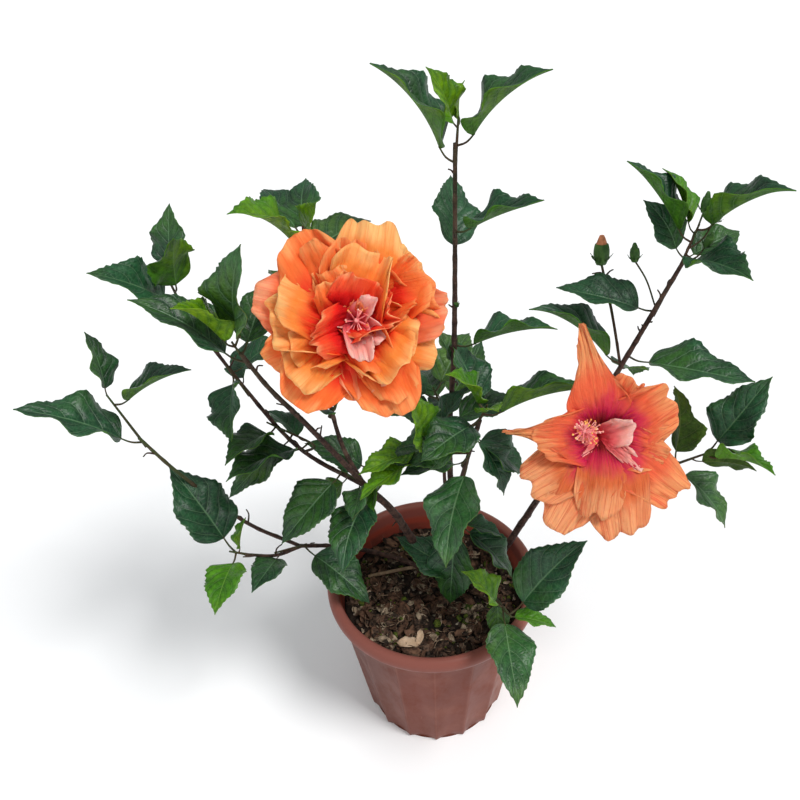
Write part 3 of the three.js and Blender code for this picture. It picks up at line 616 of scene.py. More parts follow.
def petal(bm, bloom, turn, length, width, lean, open_to, chance, slot=0, tip=0.8, skew=0.0, fold=5.0,
          cup=0.0, twist=0.0, crumple=0.6):
    """One petal, springing lean degrees off the bloom's axis and bending out to open_to.

    tip is its breadth at the end beside its widest, skew carries the end
    sideways, fold is the depth of its waves, cup lifts both its edges, twist
    turns it about its own length and crumple is the height of its creases.
    """
    uv = bm.loops.layers.uv.verify()
    middle, out, across_way, up_way = bloom
    angle = math.radians(turn)
    spoke = across_way * math.cos(angle) + up_way * math.sin(angle)
    side = out.cross(spoke)
    rows, columns = (22, 32) if length > 40 else (14, 16)
    steps = 40
    line = petal_line(lean, open_to, steps)
    phase = [chance.uniform(0, 2 * math.pi) for _ in range(6)]
    weight = [chance.uniform(0.5, 1.0) for _ in range(3)]
    seed = Vector((chance.uniform(0, 50), chance.uniform(0, 50), 0))
    made = bmesh.ops.create_grid(bm, x_segments=columns, y_segments=rows, size=1.0)
    where = {}
    for vert in made["verts"]:
        across, share = vert.co.x, (vert.co.y + 1) / 2
        where[vert] = ((across + 1) / 2, mixed(share * length / PETAL_REACH, 1.0, ease(share, 0.55, 1.05)))
        scallop = 0.045 * math.sin(across * 4.4 + phase[0]) + 0.02 * math.sin(across * 10 + phase[1])
        reach = share * (1 - 0.26 * abs(across) ** 3) + scallop * share ** 4
        spot = min(max(reach, 0.0), 1.0) * steps
        low = min(int(spot), steps - 1)
        run = mixed(line[low][0], line[low + 1][0], spot - low) * length * MM
        climb = mixed(line[low][1], line[low + 1][1], spot - low) * length * MM
        tilt = math.radians(mixed(lean, open_to, ease(reach, 0.0, 0.8)))
        over = out * math.sin(tilt) - spoke * math.cos(tilt)
        opened = 0.2 + 0.8 * ease(share, 0.0, 0.62)
        broad = width / 2 * MM * opened * mixed(1.0, tip, ease(share, 0.5, 1.0))
        swell = weight[0] * math.sin(across * 2.2 + phase[2] + share)
        swell += weight[1] * math.sin(across * 4.6 + phase[3])
        ruffle = math.sin(across * 10 + phase[4]) + 0.5 * math.sin(across * 19 + phase[0])
        frill = 0.26 * ruffle * share ** 4
        crease = noise.noise(seed + Vector((across * 3.4, share * 2.6, 0.0)))
        coarse = noise.noise(seed + Vector((across * 9, share * 7, 3.0)))
        fine = noise.noise(seed + Vector((across * 20, share * 12, 7.0)))
        waves = share ** 1.3 * 0.5 * swell + 0.4 * crease * share + frill
        lift = fold * MM * waves + cup * broad * across ** 2
        lift += crumple * MM * (coarse + 0.5 * fine) * min(share * 2, 1.0)
        drift = skew * width * share ** 2 + fold * 0.3 * share * math.sin(across * 3 + phase[5])
        lean_over = math.radians(twist) * ease(share, 0.1, 0.9)
        reach_over = side * math.cos(lean_over) + over * math.sin(lean_over)
        spine = middle + spoke * run + out * climb
        vert.co = spine + reach_over * (across * broad) + side * drift * MM + over * lift
    laid_on(faces_of(made), uv, where, slot)


# ---------------------------------------------------------------- camera and light
def place_camera():
    seen = bpy.data.cameras.new("view_from_above")
    seen.lens = 36.0
    seen.sensor_width = 36.0
    camera = bpy.data.objects.new("view_from_above", seen)
    bpy.context.scene.collection.objects.link(camera)
    turn = Matrix.Rotation(math.radians(2.4), 4, "Z")
    tip = Matrix.Rotation(math.radians(90 - 38), 4, "X")
    roll = Matrix.Rotation(math.radians(-3.2), 4, "Z")
    camera.matrix_world = Matrix.Translation((0, -0.523, 0.815)) @ turn @ tip @ roll
    bpy.context.scene.camera = camera


def soft_light(name, direction, spread_angle, power):
    """A broad, even light from far off, like a large diffuser."""
    lamp = bpy.data.lights.new(name, "SUN")
    lamp.angle = math.radians(spread_angle)
    lamp.energy = power
    holder = bpy.data.objects.new(name, lamp)
    bpy.context.scene.collection.objects.link(holder)
    holder.location = Vector(direction) * 2
    holder.rotation_euler = Vector(direction).to_track_quat("Z", "Y").to_euler()


def light_studio():
    world = bpy.data.worlds.new("pale_room")
    world.use_nodes = True
    world.node_tree.nodes["Background"].inputs[0].default_value = colour(0.94, 0.97, 1.0)
    world.node_tree.nodes["Background"].inputs[1].default_value = 0.46
    bpy.context.scene.world = world
    bpy.context.scene.view_settings.view_transform = "Standard"
    soft_light("key", (0.62, -0.42, 1.15), 20, 2.4)
    soft_light("fill", (-0.7, -0.9, 0.7), 50, 0.6)


def lay_floor():
    bm = bmesh.new()
    bmesh.ops.create_grid(bm, x_segments=2, y_segments=2, size=6.0)
    mesh = bpy.data.meshes.new("floor")
    bm.to_mesh(mesh)
    bm.free()
    made, tree, shader = new_material("pale_floor", 0.9, 0.1)
    tone = spread(tree, grain(tree, place_on_plant(tree), 3.0), 0.3, 0.7)
    painted = blended(tree, tone, colour(0.93, 0.93, 0.93), colour(0.95, 0.95, 0.95))
    tree.links.new(painted, shader.inputs["Base Color"])
    mesh.materials.append(made)
    floor = bpy.data.objects.new("floor", mesh)
    bpy.context.scene.collection.objects.link(floor)


# ---------------------------------------------------------------- the pot
# The rolled rim, from under its outer edge over the top and down inside, as
# how far in from its widest and how far down from its top.
RIM_ROLL = [
    (2.0, 13.8), (0.6, 12.4), (0.1, 10), (0, 7), (0.6, 4.5), (1.9, 2.2),
    (3.8, 0.7), (6.0, 0), (8.2, 0.6), (10.0, 2.4), (11.0, 5), (11.6, RIM_DEPTH)]


def outer_radius(z):
    return mixed(POT_FOOT_RADIUS, POT_TOP_RADIUS, z / (POT_HEIGHT - RIM_DEPTH))


def flute_depth(z):
    return mixed(FLUTE_AT_FOOT, FLUTE_AT_TOP, z / (POT_HEIGHT - RIM_DEPTH))


def inner_radius(z):
    return outer_radius(z) - flute_depth(z) - POT_WALL


def pot_outline():
    """Half a cut through the pot, from the middle of its foot up, over the rim and down inside."""
    neck = POT_HEIGHT - RIM_DEPTH
    foot = [(0, 0), (40, 0), (outer_radius(0) - 3.5, 0), (outer_radius(0) - 1.2, 0.6), (outer_radius(0), 2.2)]
    wall = [(outer_radius(z), z) for z in range(10, neck - 6, 12)]
    throat = [
        (outer_radius(neck - 5), neck - 5), (outer_radius(neck - 2) + 0.6, neck - 3.5),
        (POT_TOP_RADIUS + 2.4, neck - 2.2), (POT_TOP_RADIUS + 3, neck - 0.6),
        (POT_TOP_RADIUS + 3.4, neck + 0.8)]
    rim = [(RIM_RADIUS - inwards, POT_HEIGHT - down) for inwards, down in RIM_ROLL]
    inside = [(inner_radius(z), z) for z in (SOIL_TOP, SOIL_FOOT, POT_FLOOR)] + [(0, POT_FLOOR)]
    return foot + wall + throat + rim + inside


def press_flutes(bm):
    """Hollows the outer wall between its ridges, less and less up to the rim."""
    neck = POT_HEIGHT - RIM_DEPTH
    for vert in bm.verts:
        radius, z = math.hypot(vert.co.x, vert.co.y) / MM, vert.co.z / MM
        if z > neck - 3 or radius < inner_radius(z) + flute_depth(z):
            continue
        hollow = abs(math.sin((math.atan2(vert.co.y, vert.co.x) + math.pi / 2) * PANELS / 2)) ** 0.8
        shrink = 1 - 1.25 * flute_depth(z) * hollow * ease(neck - z, 2, 10) / radius
        vert.co.x *= shrink
        vert.co.y *= shrink


def build_pot():
    bm = bmesh.new()
    corners = [bm.verts.new((radius * MM, 0, z * MM)) for radius, z in pot_outline()]
    edges = [bm.edges.new(pair) for pair in zip(corners, corners[1:])]
    bmesh.ops.spin(bm, geom=corners + edges, cent=(0, 0, 0), axis=(0, 0, 1), angle=2 * math.pi,
                   steps=PANELS * 12, use_merge=True)
    bmesh.ops.remove_doubles(bm, verts=bm.verts, dist=1e-6)
    bmesh.ops.recalc_face_normals(bm, faces=bm.faces)
    for face in bm.faces:
        centre = face.calc_center_median() / MM
        cavity = inner_radius(min(centre.z, POT_HEIGHT - 5)) + 1.5
        inside = math.hypot(centre.x, centre.y) < cavity and centre.z > 3
        face.material_index = 1 if inside else 0
    press_flutes(bm)
    pot = finished("flower_pot", bm, [POT_OUTSIDE, POT_INSIDE])
    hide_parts("pot")


# ---------------------------------------------------------------- the soil and its litter
def soil_height(x, y):
    spot = Vector((x, y, 0)) * 26
    swell = noise.noise(spot) * 4.0 + noise.noise(spot * 3.1) * 2.6 + noise.noise(spot * 8.3) * 1.2
    return SOIL_TOP + 0.5 + swell


def build_soil():
    reach = inner_radius(SOIL_TOP) - 0.6
    bm = bmesh.new()
    spokes = [bm.verts.new((reach * MM * step / 44, 0, 0)) for step in range(45)]
    edges = [bm.edges.new(pair) for pair in zip(spokes, spokes[1:])]
    bmesh.ops.spin(bm, geom=spokes + edges, cent=(0, 0, 0), axis=(0, 0, 1), angle=2 * math.pi,
                   steps=150, use_merge=True)
    bmesh.ops.remove_doubles(bm, verts=bm.verts, dist=1e-6)
    for vert in bm.verts:
        vert.co.z = soil_height(vert.co.x, vert.co.y) * MM
    rim = [edge for edge in bm.edges if edge.is_boundary]
    foot = bmesh.ops.extrude_edge_only(bm, edges=rim)
    skirt = [item for item in foot["geom"] if isinstance(item, bmesh.types.BMVert)]
    shrink = (inner_radius(SOIL_FOOT) - 0.6) / reach
    for vert in skirt:
        vert.co = Vector((vert.co.x * shrink, vert.co.y * shrink, SOIL_FOOT * MM))
    bmesh.ops.contextual_create(bm, geom=[edge for edge in bm.edges if edge.is_boundary])
    bmesh.ops.recalc_face_normals(bm, faces=bm.faces)
    damp = litter_material("damp_soil", colour(0.006, 0.004, 0.003), colour(0.03, 0.018, 0.012))
    soil = finished("potting_soil", bm, [damp])
    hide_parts("soil")


def dropped(place, chance):
    """A random way of lying on the soil."""
    turn = Matrix.Rotation(chance.uniform(0, 6.28), 4, "Z")
    forward = Matrix.Rotation(chance.uniform(-0.6, 0.6), 4, "X")
    sideways = Matrix.Rotation(chance.uniform(-0.5, 0.5), 4, "Y")
    return Matrix.Translation(place) @ turn @ (forward @ sideways)


def dry_curl(bm, place, size, chance):
    """A dead leaf rolled up along its middle."""
    where = dropped(place, chance)
    made = bmesh.ops.create_grid(bm, x_segments=4, y_segments=6, size=0.5)
    curl = chance.uniform(0.6, 2.6)
    for vert in made["verts"]:
        taper = 1 - 3.2 * vert.co.y ** 2
        across = vert.co.x * max(taper, 0.1) * curl
        rough = noise.noise(vert.co * 5 + place * 300) * 0.24
        high = (1 - math.cos(across)) / curl + vert.co.y ** 2 * 0.5 + rough
        vert.co = Vector((math.sin(across) / curl * 0.7, vert.co.y * 1.2, high))
        vert.co = where @ (vert.co * size * MM)
    bmesh.ops.solidify(bm, geom=faces_of(made), thickness=0.0004)


def bark_chip(bm, place, size, chance):
    where = dropped(place, chance)
    made = bmesh.ops.create_cube(bm, size=1.0)
    for vert in made["verts"]:
        vert.co += noise.noise_vector(vert.co * 3 + place * 500) * 0.3
        vert.co = where @ (Vector((vert.co.x * 0.45, vert.co.y, vert.co.z * 0.16)) * size * MM)


def crumb(bm, place, size, chance, fineness=1):
    where = dropped(place, chance)
    made = bmesh.ops.create_icosphere(bm, subdivisions=fineness, radius=0.5)
    for vert in made["verts"]:
        vert.co *= 1 + noise.noise(vert.co * 4 + place * 700) * 0.7
        vert.co = where @ (Vector((vert.co.x, vert.co.y, vert.co.z * 0.6)) * size * MM)


def moss_tuft(bm, place, size, chance):
    crumb(bm, place, size, chance, 2)


def rootlet(bm, chance):
    """A thin dry root or straw curling over the soil."""
    angle, turn = chance.uniform(0, 6.28), chance.uniform(0, 6.28)
    reach = math.sqrt(chance.uniform(0, 1)) * (inner_radius(SOIL_TOP) - 16)
    x, y = math.cos(angle) * reach, math.sin(angle) * reach
    bend = chance.uniform(-0.9, 0.9)
    points = []
    for step in range(5):
        rise = 3 + 2.5 * math.sin(step * 0.8)
        points.append((x, y, soil_height(x * MM, y * MM) + rise))
        x, y, turn = x + 4 * math.cos(turn), y + 4 * math.sin(turn), turn + bend
    even_tube(bm, points, 2, chance.uniform(0.25, 0.5), 5)


# What lies on the soil: its name, shape, number, smallest and largest size,
# its darkest and lightest colour and how fine its mottling is.
LITTER = [
    ("dead_leaves", dry_curl, 260, (6, 17), "dead_leaf", (0.006, 0.003, 0.002), (0.17, 0.09, 0.055), 90),
    ("pale_dead_leaves", dry_curl, 190, (4, 12), "bleached_leaf", (0.1, 0.07, 0.045), (0.52, 0.4, 0.28), 90),
    ("bark_chips", bark_chip, 200, (5, 14), "bark_chip", (0.012, 0.008, 0.006), (0.15, 0.09, 0.06), 140),
    ("soil_crumbs", crumb, 420, (2.5, 8), "crumb", (0.006, 0.004, 0.003), (0.06, 0.04, 0.028), 140),
    ("pale_crumbs", crumb, 260, (1.5, 4), "pale_crumb", (0.1, 0.08, 0.06), (0.4, 0.33, 0.26), 140),
    ("moss_tufts", moss_tuft, 120, (2.5, 8), "moss", (0.012, 0.03, 0.006), (0.14, 0.17, 0.02), 400),
]


def scatter_litter(chance):
    """Deals the litter out over the soil, with the moss mostly near the wall."""
    room = inner_radius(SOIL_TOP) - 7
    for name, shape, count, sizes, material, dark, light, scale in LITTER:
        bm = bmesh.new()
        for _ in range(count):
            angle = chance.uniform(0, 2 * math.pi)
            reach = math.sqrt(chance.uniform(0, 1)) * room
            if shape is moss_tuft:
                reach = room - min(abs(chance.gauss(0, 30)), 80)
            x, y = math.cos(angle) * reach * MM, math.sin(angle) * reach * MM
            size = chance.uniform(*sizes)
            shape(bm, Vector((x, y, (soil_height(x, y) + size * 0.12) * MM)), size, chance)
        bmesh.ops.recalc_face_normals(bm, faces=bm.faces)
        made = litter_material(material, colour(*dark), colour(*light), scale)
        finished(name, bm, [made], smooth=shape is not bark_chip)


def build_tan_leaf():
    """One large pale leaf by the front wall, in two curled parts."""
    bm = bmesh.new()
    dry_curl(bm, Vector((-0.024, -0.064, (SOIL_TOP + 7) * MM)), 19, random.Random(3))
    dry_curl(bm, Vector((-0.014, -0.058, (SOIL_TOP + 8) * MM)), 13, random.Random(9))
    tan = litter_material("tan_leaf", colour(0.4, 0.27, 0.17), colour(0.6, 0.45, 0.32), 60.0)
    finished("tan_leaf", bm, [tan])


def build_rootlets(chance):
    bm = bmesh.new()
    for _ in range(56):
        rootlet(bm, chance)
    dry = litter_material("rootlet", colour(0.04, 0.024, 0.016), colour(0.3, 0.2, 0.13), 60.0)
    finished("dry_rootlets", bm, [dry])


def build_fallen_stick():
    bm = bmesh.new()
    even_tube(bm, [(-66, 20, 158), (-40, 24, 161), (-12, 30, 160), (6, 27, 158)], 4, 1.9, 8)
    dry = litter_material("dry_stick", colour(0.2, 0.13, 0.08), colour(0.4, 0.29, 0.19), 60.0)
    finished("fallen_stick", bm, [dry])


def build_litter():
    chance = random.Random(SEED + 5)
    scatter_litter(chance)
    build_tan_leaf()
    build_rootlets(chance)
    build_fallen_stick()


# ---------------------------------------------------------------- stems and boughs
def bark_radius(length, thick, thin, foot, seed):
    """The radius along a limb: taper, a flared foot, leaf scars and furrows."""
    def radius(share, angle):
        down = share * length
        base = mixed(thick, thin, share) + (thick * 0.5 * math.exp(-down / 9) if foot else 0)
        scar = 0.0
        for knot in range(1, int(length / SCAR_GAP) + 1):
            centre = knot * SCAR_GAP + 7 * math.sin(knot * 2.3 + seed)
            beside = 0.6 + 0.4 * math.cos(angle - knot * 2.4 - seed)
            scar += math.exp(-((down - centre) / 2.6) ** 2) * beside
        furrow = noise.noise(Vector((math.cos(angle) * 2.2, math.sin(angle) * 2.2, down * 0.09 + seed * 7)))
        pits = noise.noise(Vector((math.cos(angle) * 6, math.sin(angle) * 6, down * 0.5 + seed * 3)))
        lobes = 0.12 * math.cos(angle * 3 + seed) * math.exp(-down / 16) if foot else 0
        return base * (1 + 0.2 * scar + 0.1 * furrow + 0.05 * pits + lobes) * MM
    return radius


def build_limbs():
    bm = bmesh.new()
    for order, (name, (points, thick, thin, old, new)) in enumerate(LIMBS.items()):
        path = smooth_path(points, 2.4)
        length = sum((b - a).length for a, b in zip(path, path[1:])) / MM
        foot = points[0][2] < SOIL_TOP
        tube(bm, path, bark_radius(length, thick, thin, foot, order), 14 if thick > 4 else 10, (old, new))
    limbs = finished("trunk_and_boughs", bm, [BARK])
    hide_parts(*LIMBS)


def build_spurs():
    """Short bare side twigs, left by fallen leaves, dealt out along every limb."""
    chance = random.Random(SEED + 300)
    bm = bmesh.new()
    for points, *_ in LIMBS.values():
        line = smooth_path(points, 4)
        for _ in range(max(2, len(line) // 9)):
            spot = chance.randrange(len(line) // 4, len(line) - 1)
            along = (line[spot + 1] - line[spot]).normalized()
            way = (along * 0.7 + towards(chance.uniform(0, 360), chance.uniform(-20, 40))).normalized()
            length = chance.uniform(5, 15) * MM
            bend = towards(chance.uniform(0, 360), 40) * length * 0.2
            first, last = line[spot], line[spot] + way * length
            twig = [first / MM, ((first + last) / 2 + bend) / MM, last / MM]
            tapered_tube(bm, twig, 2.5, 0.9, 0.55, 6, (0.1, 0.6))
    finished("spurs", bm, [BARK])


# ---------------------------------------------------------------- leaves
def shoot_line(start, end, limb_line):
    """The points of a shoot's twig, in mm, from the nearest spot on a limb to past its last leaf."""
    first, last = Vector(start) * MM, Vector(end) * MM
    beyond = last + (last - first).normalized() * 5 * MM
    joint = min(limb_line, key=lambda point: (point - first).length)
    points = [first / MM, last / MM, beyond / MM]
    if (joint - first).length > 3 * MM:
        points.insert(0, joint / MM)
    return points


def build_foliage():
    """Every shoot as one piece of leaves, and all their twigs and stalks as one more."""
    stalks = bmesh.new()
    limb_line = [point for points, *_ in LIMBS.values() for point in smooth_path(points, 4)]
    for order, (name, (start, end, leaves)) in enumerate(SHOOTS.items()):
        chance = random.Random(SEED + order)
        bm = bmesh.new()
        first, last = Vector(start) * MM, Vector(end) * MM
        tapered_tube(stalks, shoot_line(start, end, limb_line), 3, 1.35, 0.8, 7, (0.5, 1.0))
        for along, heading, rise, length, held, tone in leaves:
            root = first.lerp(last, along)
            foot, way, face_way = leaf(bm, root, heading, rise, length, held, tone, chance)
            bow = (root + foot) / 2 - face_way * 0.02 * length * MM
            thick = 0.85 if length > 60 else 0.65
            line = [root / MM, bow / MM, (foot + way * 2 * MM) / MM]
            tapered_tube(stalks, line, 2.5, thick * 1.15, thick * 0.75, 6, (0.55, 0.95))
        piece = finished("leaves_" + name, bm, LEAF_TONES)
        thicken(piece, LEAF_THICKNESS, under=1)
        if name not in EXTRA_SHOOTS:
            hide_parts("foliage_" + name)
    finished("petioles", stalks, [BARK])


# ---------------------------------------------------------------- blooms and buds
def bloom_frame(middle, heading, rise, back):
    """A bloom's foot, back mm behind its middle, and its ways out, across and up."""
    out = towards(heading, rise)
    across = towards(heading + 90, 0)
    return Vector(middle) * MM - out * back * MM, out, across, out.cross(across)


def stamen_column(bm, bloom, length, lean_way, count, chance):
    """The pink column with its filaments in slot 0 and pollen heads in slots 1 and 2."""
    middle, out, across, up = bloom
    reach = (out + across * lean_way[0] + up * lean_way[1]).normalized()
    path = [middle + reach * length * MM * share / 8 for share in range(9)]
    tube(bm, path, lambda share, angle: mixed(2.4, 1.5, share) * MM, 10)
    for _ in range(count):
        share = chance.uniform(0.5, 1.0)
        side = (across * chance.uniform(-1, 1) + up * chance.uniform(-1, 1)).normalized()
        root = middle + reach * length * share * MM
        tip = root + (side + reach * chance.uniform(0.1, 0.9)).normalized() * chance.uniform(5, 11) * MM
        tube(bm, [root, root.lerp(tip, 0.5) + reach * 0.4 * MM, tip], lambda share, angle: 0.36 * MM, 5)
        head_slot = chance.choice((1, 2))
        head = bmesh.ops.create_icosphere(bm, subdivisions=1, radius=chance.uniform(0.65, 1.0) * MM,
                                          matrix=Matrix.Translation(tip))
        for face in faces_of(head):
            face.material_index = head_slot


def calyx(bm, bloom, size):
    """Five pointed sepals cupped behind a bloom, with narrow bracts round them."""
    chance = random.Random(SEED)
    middle, out, across, up = bloom
    behind = (middle - out * size * 0.35 * MM, out, across, up)
    for turn in range(5):
        petal(bm, behind, turn * 72 + 20, size, size * 0.42, 35, 62, chance, tip=0.12, fold=0.6)
    for turn in range(7):
        petal(bm, behind, turn * 51, size * 0.62, size * 0.12, 55, 85, chance, tip=0.3, fold=0.2)


PETAL_PINK = petal_material(
    "petal_pink", colour(0.85, 0.05, 0.08), colour(0.92, 0.16, 0.16), colour(0.96, 0.36, 0.3),
    colour(0.98, 0.56, 0.48), colour(0.9, 0.22, 0.2))
SEPAL = plain_material("sepal_green", colour(0.02, 0.07, 0.01), colour(0.06, 0.15, 0.025), 0.6)
COLUMN = plain_material("column_pink", colour(0.75, 0.12, 0.15), colour(0.95, 0.4, 0.36), 0.5)
POLLEN = plain_material("pollen_gold", colour(0.8, 0.3, 0.04), colour(0.98, 0.62, 0.22), 0.75)
BLUSH = plain_material("pollen_blush", colour(0.85, 0.2, 0.12), colour(0.98, 0.55, 0.45), 0.75)

# The left bloom's outer petals: turn, length, breadth and tone. The tones of
# all its petals are 0 for orange, 1 for apricot, 2 for coral, 3 for flame.
LEFT_OUTER = [
    (161, 75, 58, 2), (121, 76, 56, 0), (76, 74, 56, 1), (44, 66, 44, 1), (6, 70, 46, 2), (-20, 64, 50, 1),
    (-66, 76, 56, 0), (-98, 56, 44, 0), (-130, 74, 56, 0), (-160, 70, 48, 0)]
# Its inner whorls: how many petals, length, breadth, lean, opening, fold and
# how far up the bloom's axis they spring.
LEFT_INNER = [
    (9, 66, 48, 38, 88, 9.5, 0), (8, 60, 40, 26, 74, 12.0, 2), (6, 52, 36, 12, 60, 11.0, 4),
    (3, 38, 28, 4, 42, 8.0, 8)]
# The tones dealt out in each inner whorl.
LEFT_MIX = [(0, 1, 2, 0), (0, 3, 1, 2), (3, 0, 3), (3, 2, 3)]
# Two sides where the inner petals part and the red throat shows, as their
# turn and half their width.
LEFT_PARTINGS = [(146, 24), (250, 16)]
# The pink petaloids round its column: turn, length, breadth and opening.
LEFT_PETALOIDS = [(48, 34, 15, 64), (168, 30, 13, 78), (-36, 36, 17, 74), (-78, 42, 17, 76)]


def parted(turn):
    return any(abs((turn - side + 180) % 360 - 180) < half for side, half in LEFT_PARTINGS)


def left_bloom_tones():
    throat, heart = colour(0.55, 0.002, 0.004), colour(0.87, 0.02, 0.008)
    return [
        petal_material("petal_orange", throat, heart, colour(0.93, 0.16, 0.03), colour(0.96, 0.36, 0.12),
                       colour(0.85, 0.09, 0.02), hot=(0.28, 0.56, 0.86)),
        petal_material("petal_apricot", throat, heart, colour(0.94, 0.24, 0.04), colour(0.98, 0.5, 0.18),
                       colour(0.9, 0.2, 0.03), hot=(0.28, 0.5, 0.78)),
        petal_material("petal_coral", throat, heart, colour(0.93, 0.17, 0.06), colour(0.94, 0.38, 0.2),
                       colour(0.86, 0.12, 0.06), hot=(0.28, 0.56, 0.86)),
        petal_material("petal_flame", colour(0.5, 0.002, 0.006), colour(0.86, 0.014, 0.008),
                       colour(0.93, 0.1, 0.03), colour(0.97, 0.4, 0.17), colour(0.78, 0.02, 0.01),
                       hot=(0.3, 0.64, 0.92)),
        PETAL_PINK]


def inner_whorls(bm, bloom, chance):
    """The left bloom's inner petals, whorl by whorl, crumpled and parted on two sides."""
    middle, out, across_way, up_way = bloom
    for order, (count, length, width, lean, open_to, fold, start) in enumerate(LEFT_INNER):
        shift = across_way * chance.uniform(-3, 3) + up_way * chance.uniform(-3, 3)
        raised = (middle + (out * start + shift) * MM, out, across_way, up_way)
        for index in range(count):
            turn = 360 / count * (index + 0.5 * (order % 2)) + chance.uniform(-14, 14)
            if order > 0 and parted(turn):
                continue
            tone = chance.choice(LEFT_MIX[order])
            petal(bm, raised, turn, length * chance.uniform(0.86, 1.06), width * chance.uniform(0.85, 1.12),
                  lean + chance.uniform(-9, 9), open_to + chance.uniform(-18, 12), chance, tone, 0.95,
                  chance.uniform(-0.2, 0.2), fold, chance.uniform(-0.3, 0.45), chance.uniform(-26, 26), 2.2)


def build_bloom_left():
    chance = random.Random(SEED + 70)
    bloom = bloom_frame((-46, -76, 532), -86, 36, 20)
    bm = bmesh.new()
    tones = left_bloom_tones()
    for turn, length, width, tone in LEFT_OUTER:
        petal(bm, bloom, turn, length, width, 46, 96 + chance.uniform(-7, 6), chance, tone, 0.85,
              fold=6.5, crumple=1.3)
    inner_whorls(bm, bloom, chance)
    middle, out, across_way, up_way = bloom
    raised = (middle + out * 13 * MM, out, across_way, up_way)
    for turn, length, width, open_to in LEFT_PETALOIDS:
        petal(bm, raised, turn, length, width, 4, open_to, chance, tones.index(PETAL_PINK), 1.0,
              fold=3.6, cup=0.4, crumple=1.6)
    piece = finished("bloom_left_petals", bm, tones)
    thicken(piece, PETAL_THICKNESS)
    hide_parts("bloom_left")
    bm = bmesh.new()
    stamen_column(bm, (middle + out * 14 * MM, out, across_way, up_way), 22, (0.1, 0), 20, chance)
    finished("bloom_left_stamens", bm, [COLUMN, POLLEN, BLUSH])
    return bloom


# The right bloom's petals, from the back one to the front one:
# turn, length, breadth, tip, skew, lean, opening, fold, cup.
RIGHT_PETALS = [
    (91, 104, 52, 0.14, 0.3, 30, 84, 2.5, 0.1), (174, 96, 42, 0.1, -0.1, 30, 88, 2.5, 0.1),
    (275, 90, 58, 0.85, 0.0, 34, 98, 4.0, 0.0), (312, 84, 54, 0.75, 0.1, 34, 94, 3.5, 0.0),
    (235, 92, 54, 0.8, 0.0, 32, 98, 6.0, 0.0), (60, 60, 42, 0.7, 0.0, 30, 80, 5.0, 0.1),
    (27, 70, 46, 0.9, 0.0, 32, 80, 8.0, 0.3), (2, 58, 44, 0.9, 0.0, 34, 82, 7.0, 0.2),
    (206, 84, 50, 0.85, 0.0, 30, 92, 6.0, 0.0), (176, 74, 46, 0.75, 0.0, 26, 76, 5.0, 0.2),
    (255, 80, 38, 1.1, 0.0, 16, 86, 6.0, -0.3), (336, 60, 38, 0.85, 0.0, 26, 82, 6.0, 0.1)]
# Its pink petaloids round the column: turn, length, breadth, lean, opening.
RIGHT_PETALOIDS = [(17, 40, 20, 6, 62), (198, 44, 15, 8, 74), (312, 50, 11, 16, 82)]


def right_bloom_tones():
    throat = colour(0.14, 0.0, 0.006)
    return [
        petal_material("petal_salmon", throat, colour(0.66, 0.006, 0.075), colour(0.88, 0.13, 0.05),
                       colour(0.94, 0.34, 0.13), colour(0.72, 0.07, 0.035), (0.24, 0.48, 0.7), ribbed=0.7),
        petal_material("petal_ochre", throat, colour(0.62, 0.008, 0.07), colour(0.72, 0.14, 0.04),
                       colour(0.9, 0.36, 0.16), colour(0.58, 0.08, 0.03), (0.24, 0.48, 0.7), ribbed=0.7),
        PETAL_PINK]


def build_bloom_right():
    chance = random.Random(SEED + 90)
    bloom = bloom_frame((134, -62, 413), -84, 36, 24)
    bm = bmesh.new()
    tones = right_bloom_tones()
    for turn, length, width, tip, skew, lean, open_to, fold, cup in RIGHT_PETALS:
        tone = 1 if 180 < turn < 300 else 0
        petal(bm, bloom, turn, length, width, lean, open_to, chance, tone, tip, skew, fold, cup, 0.0, 2.2)
    for turn, length, width, lean, open_to in RIGHT_PETALOIDS:
        petal(bm, bloom, turn, length, width, lean, open_to, chance, tones.index(PETAL_PINK), 1.15,
              fold=4.4, cup=0.2, crumple=3.0)
    piece = finished("bloom_right_petals", bm, tones)
    thicken(piece, PETAL_THICKNESS)
    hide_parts("bloom_right")
    bm = bmesh.new()
    stamen_column(bm, bloom, 46, (-0.5, 0.2), 84, chance)
    finished("bloom_right_stamens", bm, [COLUMN, POLLEN, BLUSH])
    return bloom


def build_calyxes(blooms):
    bm = bmesh.new()
    for bloom in blooms:
        calyx(bm, bloom, 30)
    thicken(finished("calyxes", bm, [SEPAL]), 0.7)


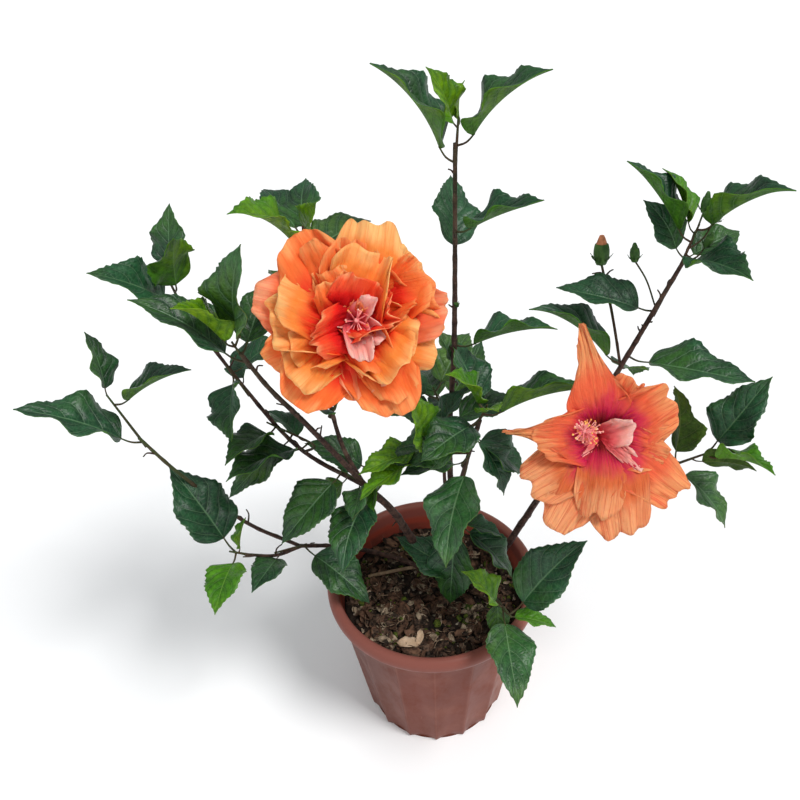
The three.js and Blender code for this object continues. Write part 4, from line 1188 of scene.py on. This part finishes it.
# The buds at the tips: place, heading, rise, length and breadth. The first
# one shows its petals, the others are small and green.
OPENING_BUD = ((151, 82, 481), 100, 78, 25, 13)
TIP_BUDS = [
    ((175, 68, 490), 110, 76, 16, 8), ((212, 38, 546), 60, 78, 16, 7), ((221, 38, 538), -20, 66, 13, 6),
    ((217, 33, 520), -60, 74, 14, 7), ((203, 46, 540), 150, 60, 9, 4), ((28, 40, 470), 180, 60, 8, 4)]
BUD_STALKS = [
    [(190, 45, 462), (184, 58, 478), (175, 68, 491)], [(207, 44, 512), (210, 40, 530), (212, 38, 547)],
    [(207, 44, 512), (216, 39, 524), (221, 38, 539)], [(206, 44, 502), (213, 36, 510), (217, 33, 521)]]


def bud(bm, place, heading, rise, length, width, tip_slot):
    """A closed bud in its ribbed calyx, with a ring of narrow bracts below."""
    way = towards(heading, rise)
    foot = Vector(place) * MM
    path = [foot + way * length * MM * step / 14 for step in range(15)]

    def swell(share, angle):
        bulge = 0.25 + 0.75 * math.sin(math.pi * min(share * 0.86 + 0.12, 1.0)) ** 0.8
        return width / 2 * MM * bulge * (1 + 0.08 * math.cos(angle * 5))

    tube(bm, path[:11], lambda share, angle: swell(share * 0.72, angle), 20, slot=0)
    tube(bm, path[8:], lambda share, angle: swell(0.62 + share * 0.38, angle) * 0.86, 15, slot=tip_slot)
    across = way.orthogonal().normalized()
    bloom = (foot, way, across, way.cross(across))
    chance = random.Random(int(length * 10))
    for turn in range(7):
        petal(bm, bloom, turn * 51.4, length * 0.55, length * 0.1, 60, 38, chance, tip=0.3, fold=0.2)


def build_buds():
    bm = bmesh.new()
    bud(bm, *OPENING_BUD, 1)
    for place, heading, rise, length, width in TIP_BUDS:
        bud(bm, place, heading, rise, length, width, 0)
    tip = plain_material("bud_tip", colour(0.28, 0.1, 0.04), colour(0.6, 0.22, 0.1), 0.6)
    finished("buds", bm, [SEPAL, tip])
    bm = bmesh.new()
    for stalk in BUD_STALKS:
        even_tube(bm, stalk, 3, 0.75, 7, (0.6, 1.0))
    finished("bud_stalks", bm, [BARK])


place_camera()
light_studio()
lay_floor()
build_pot()
build_soil()
build_litter()
build_limbs()
build_foliage()
build_spurs()
build_calyxes([build_bloom_left(), build_bloom_right()])
build_buds()
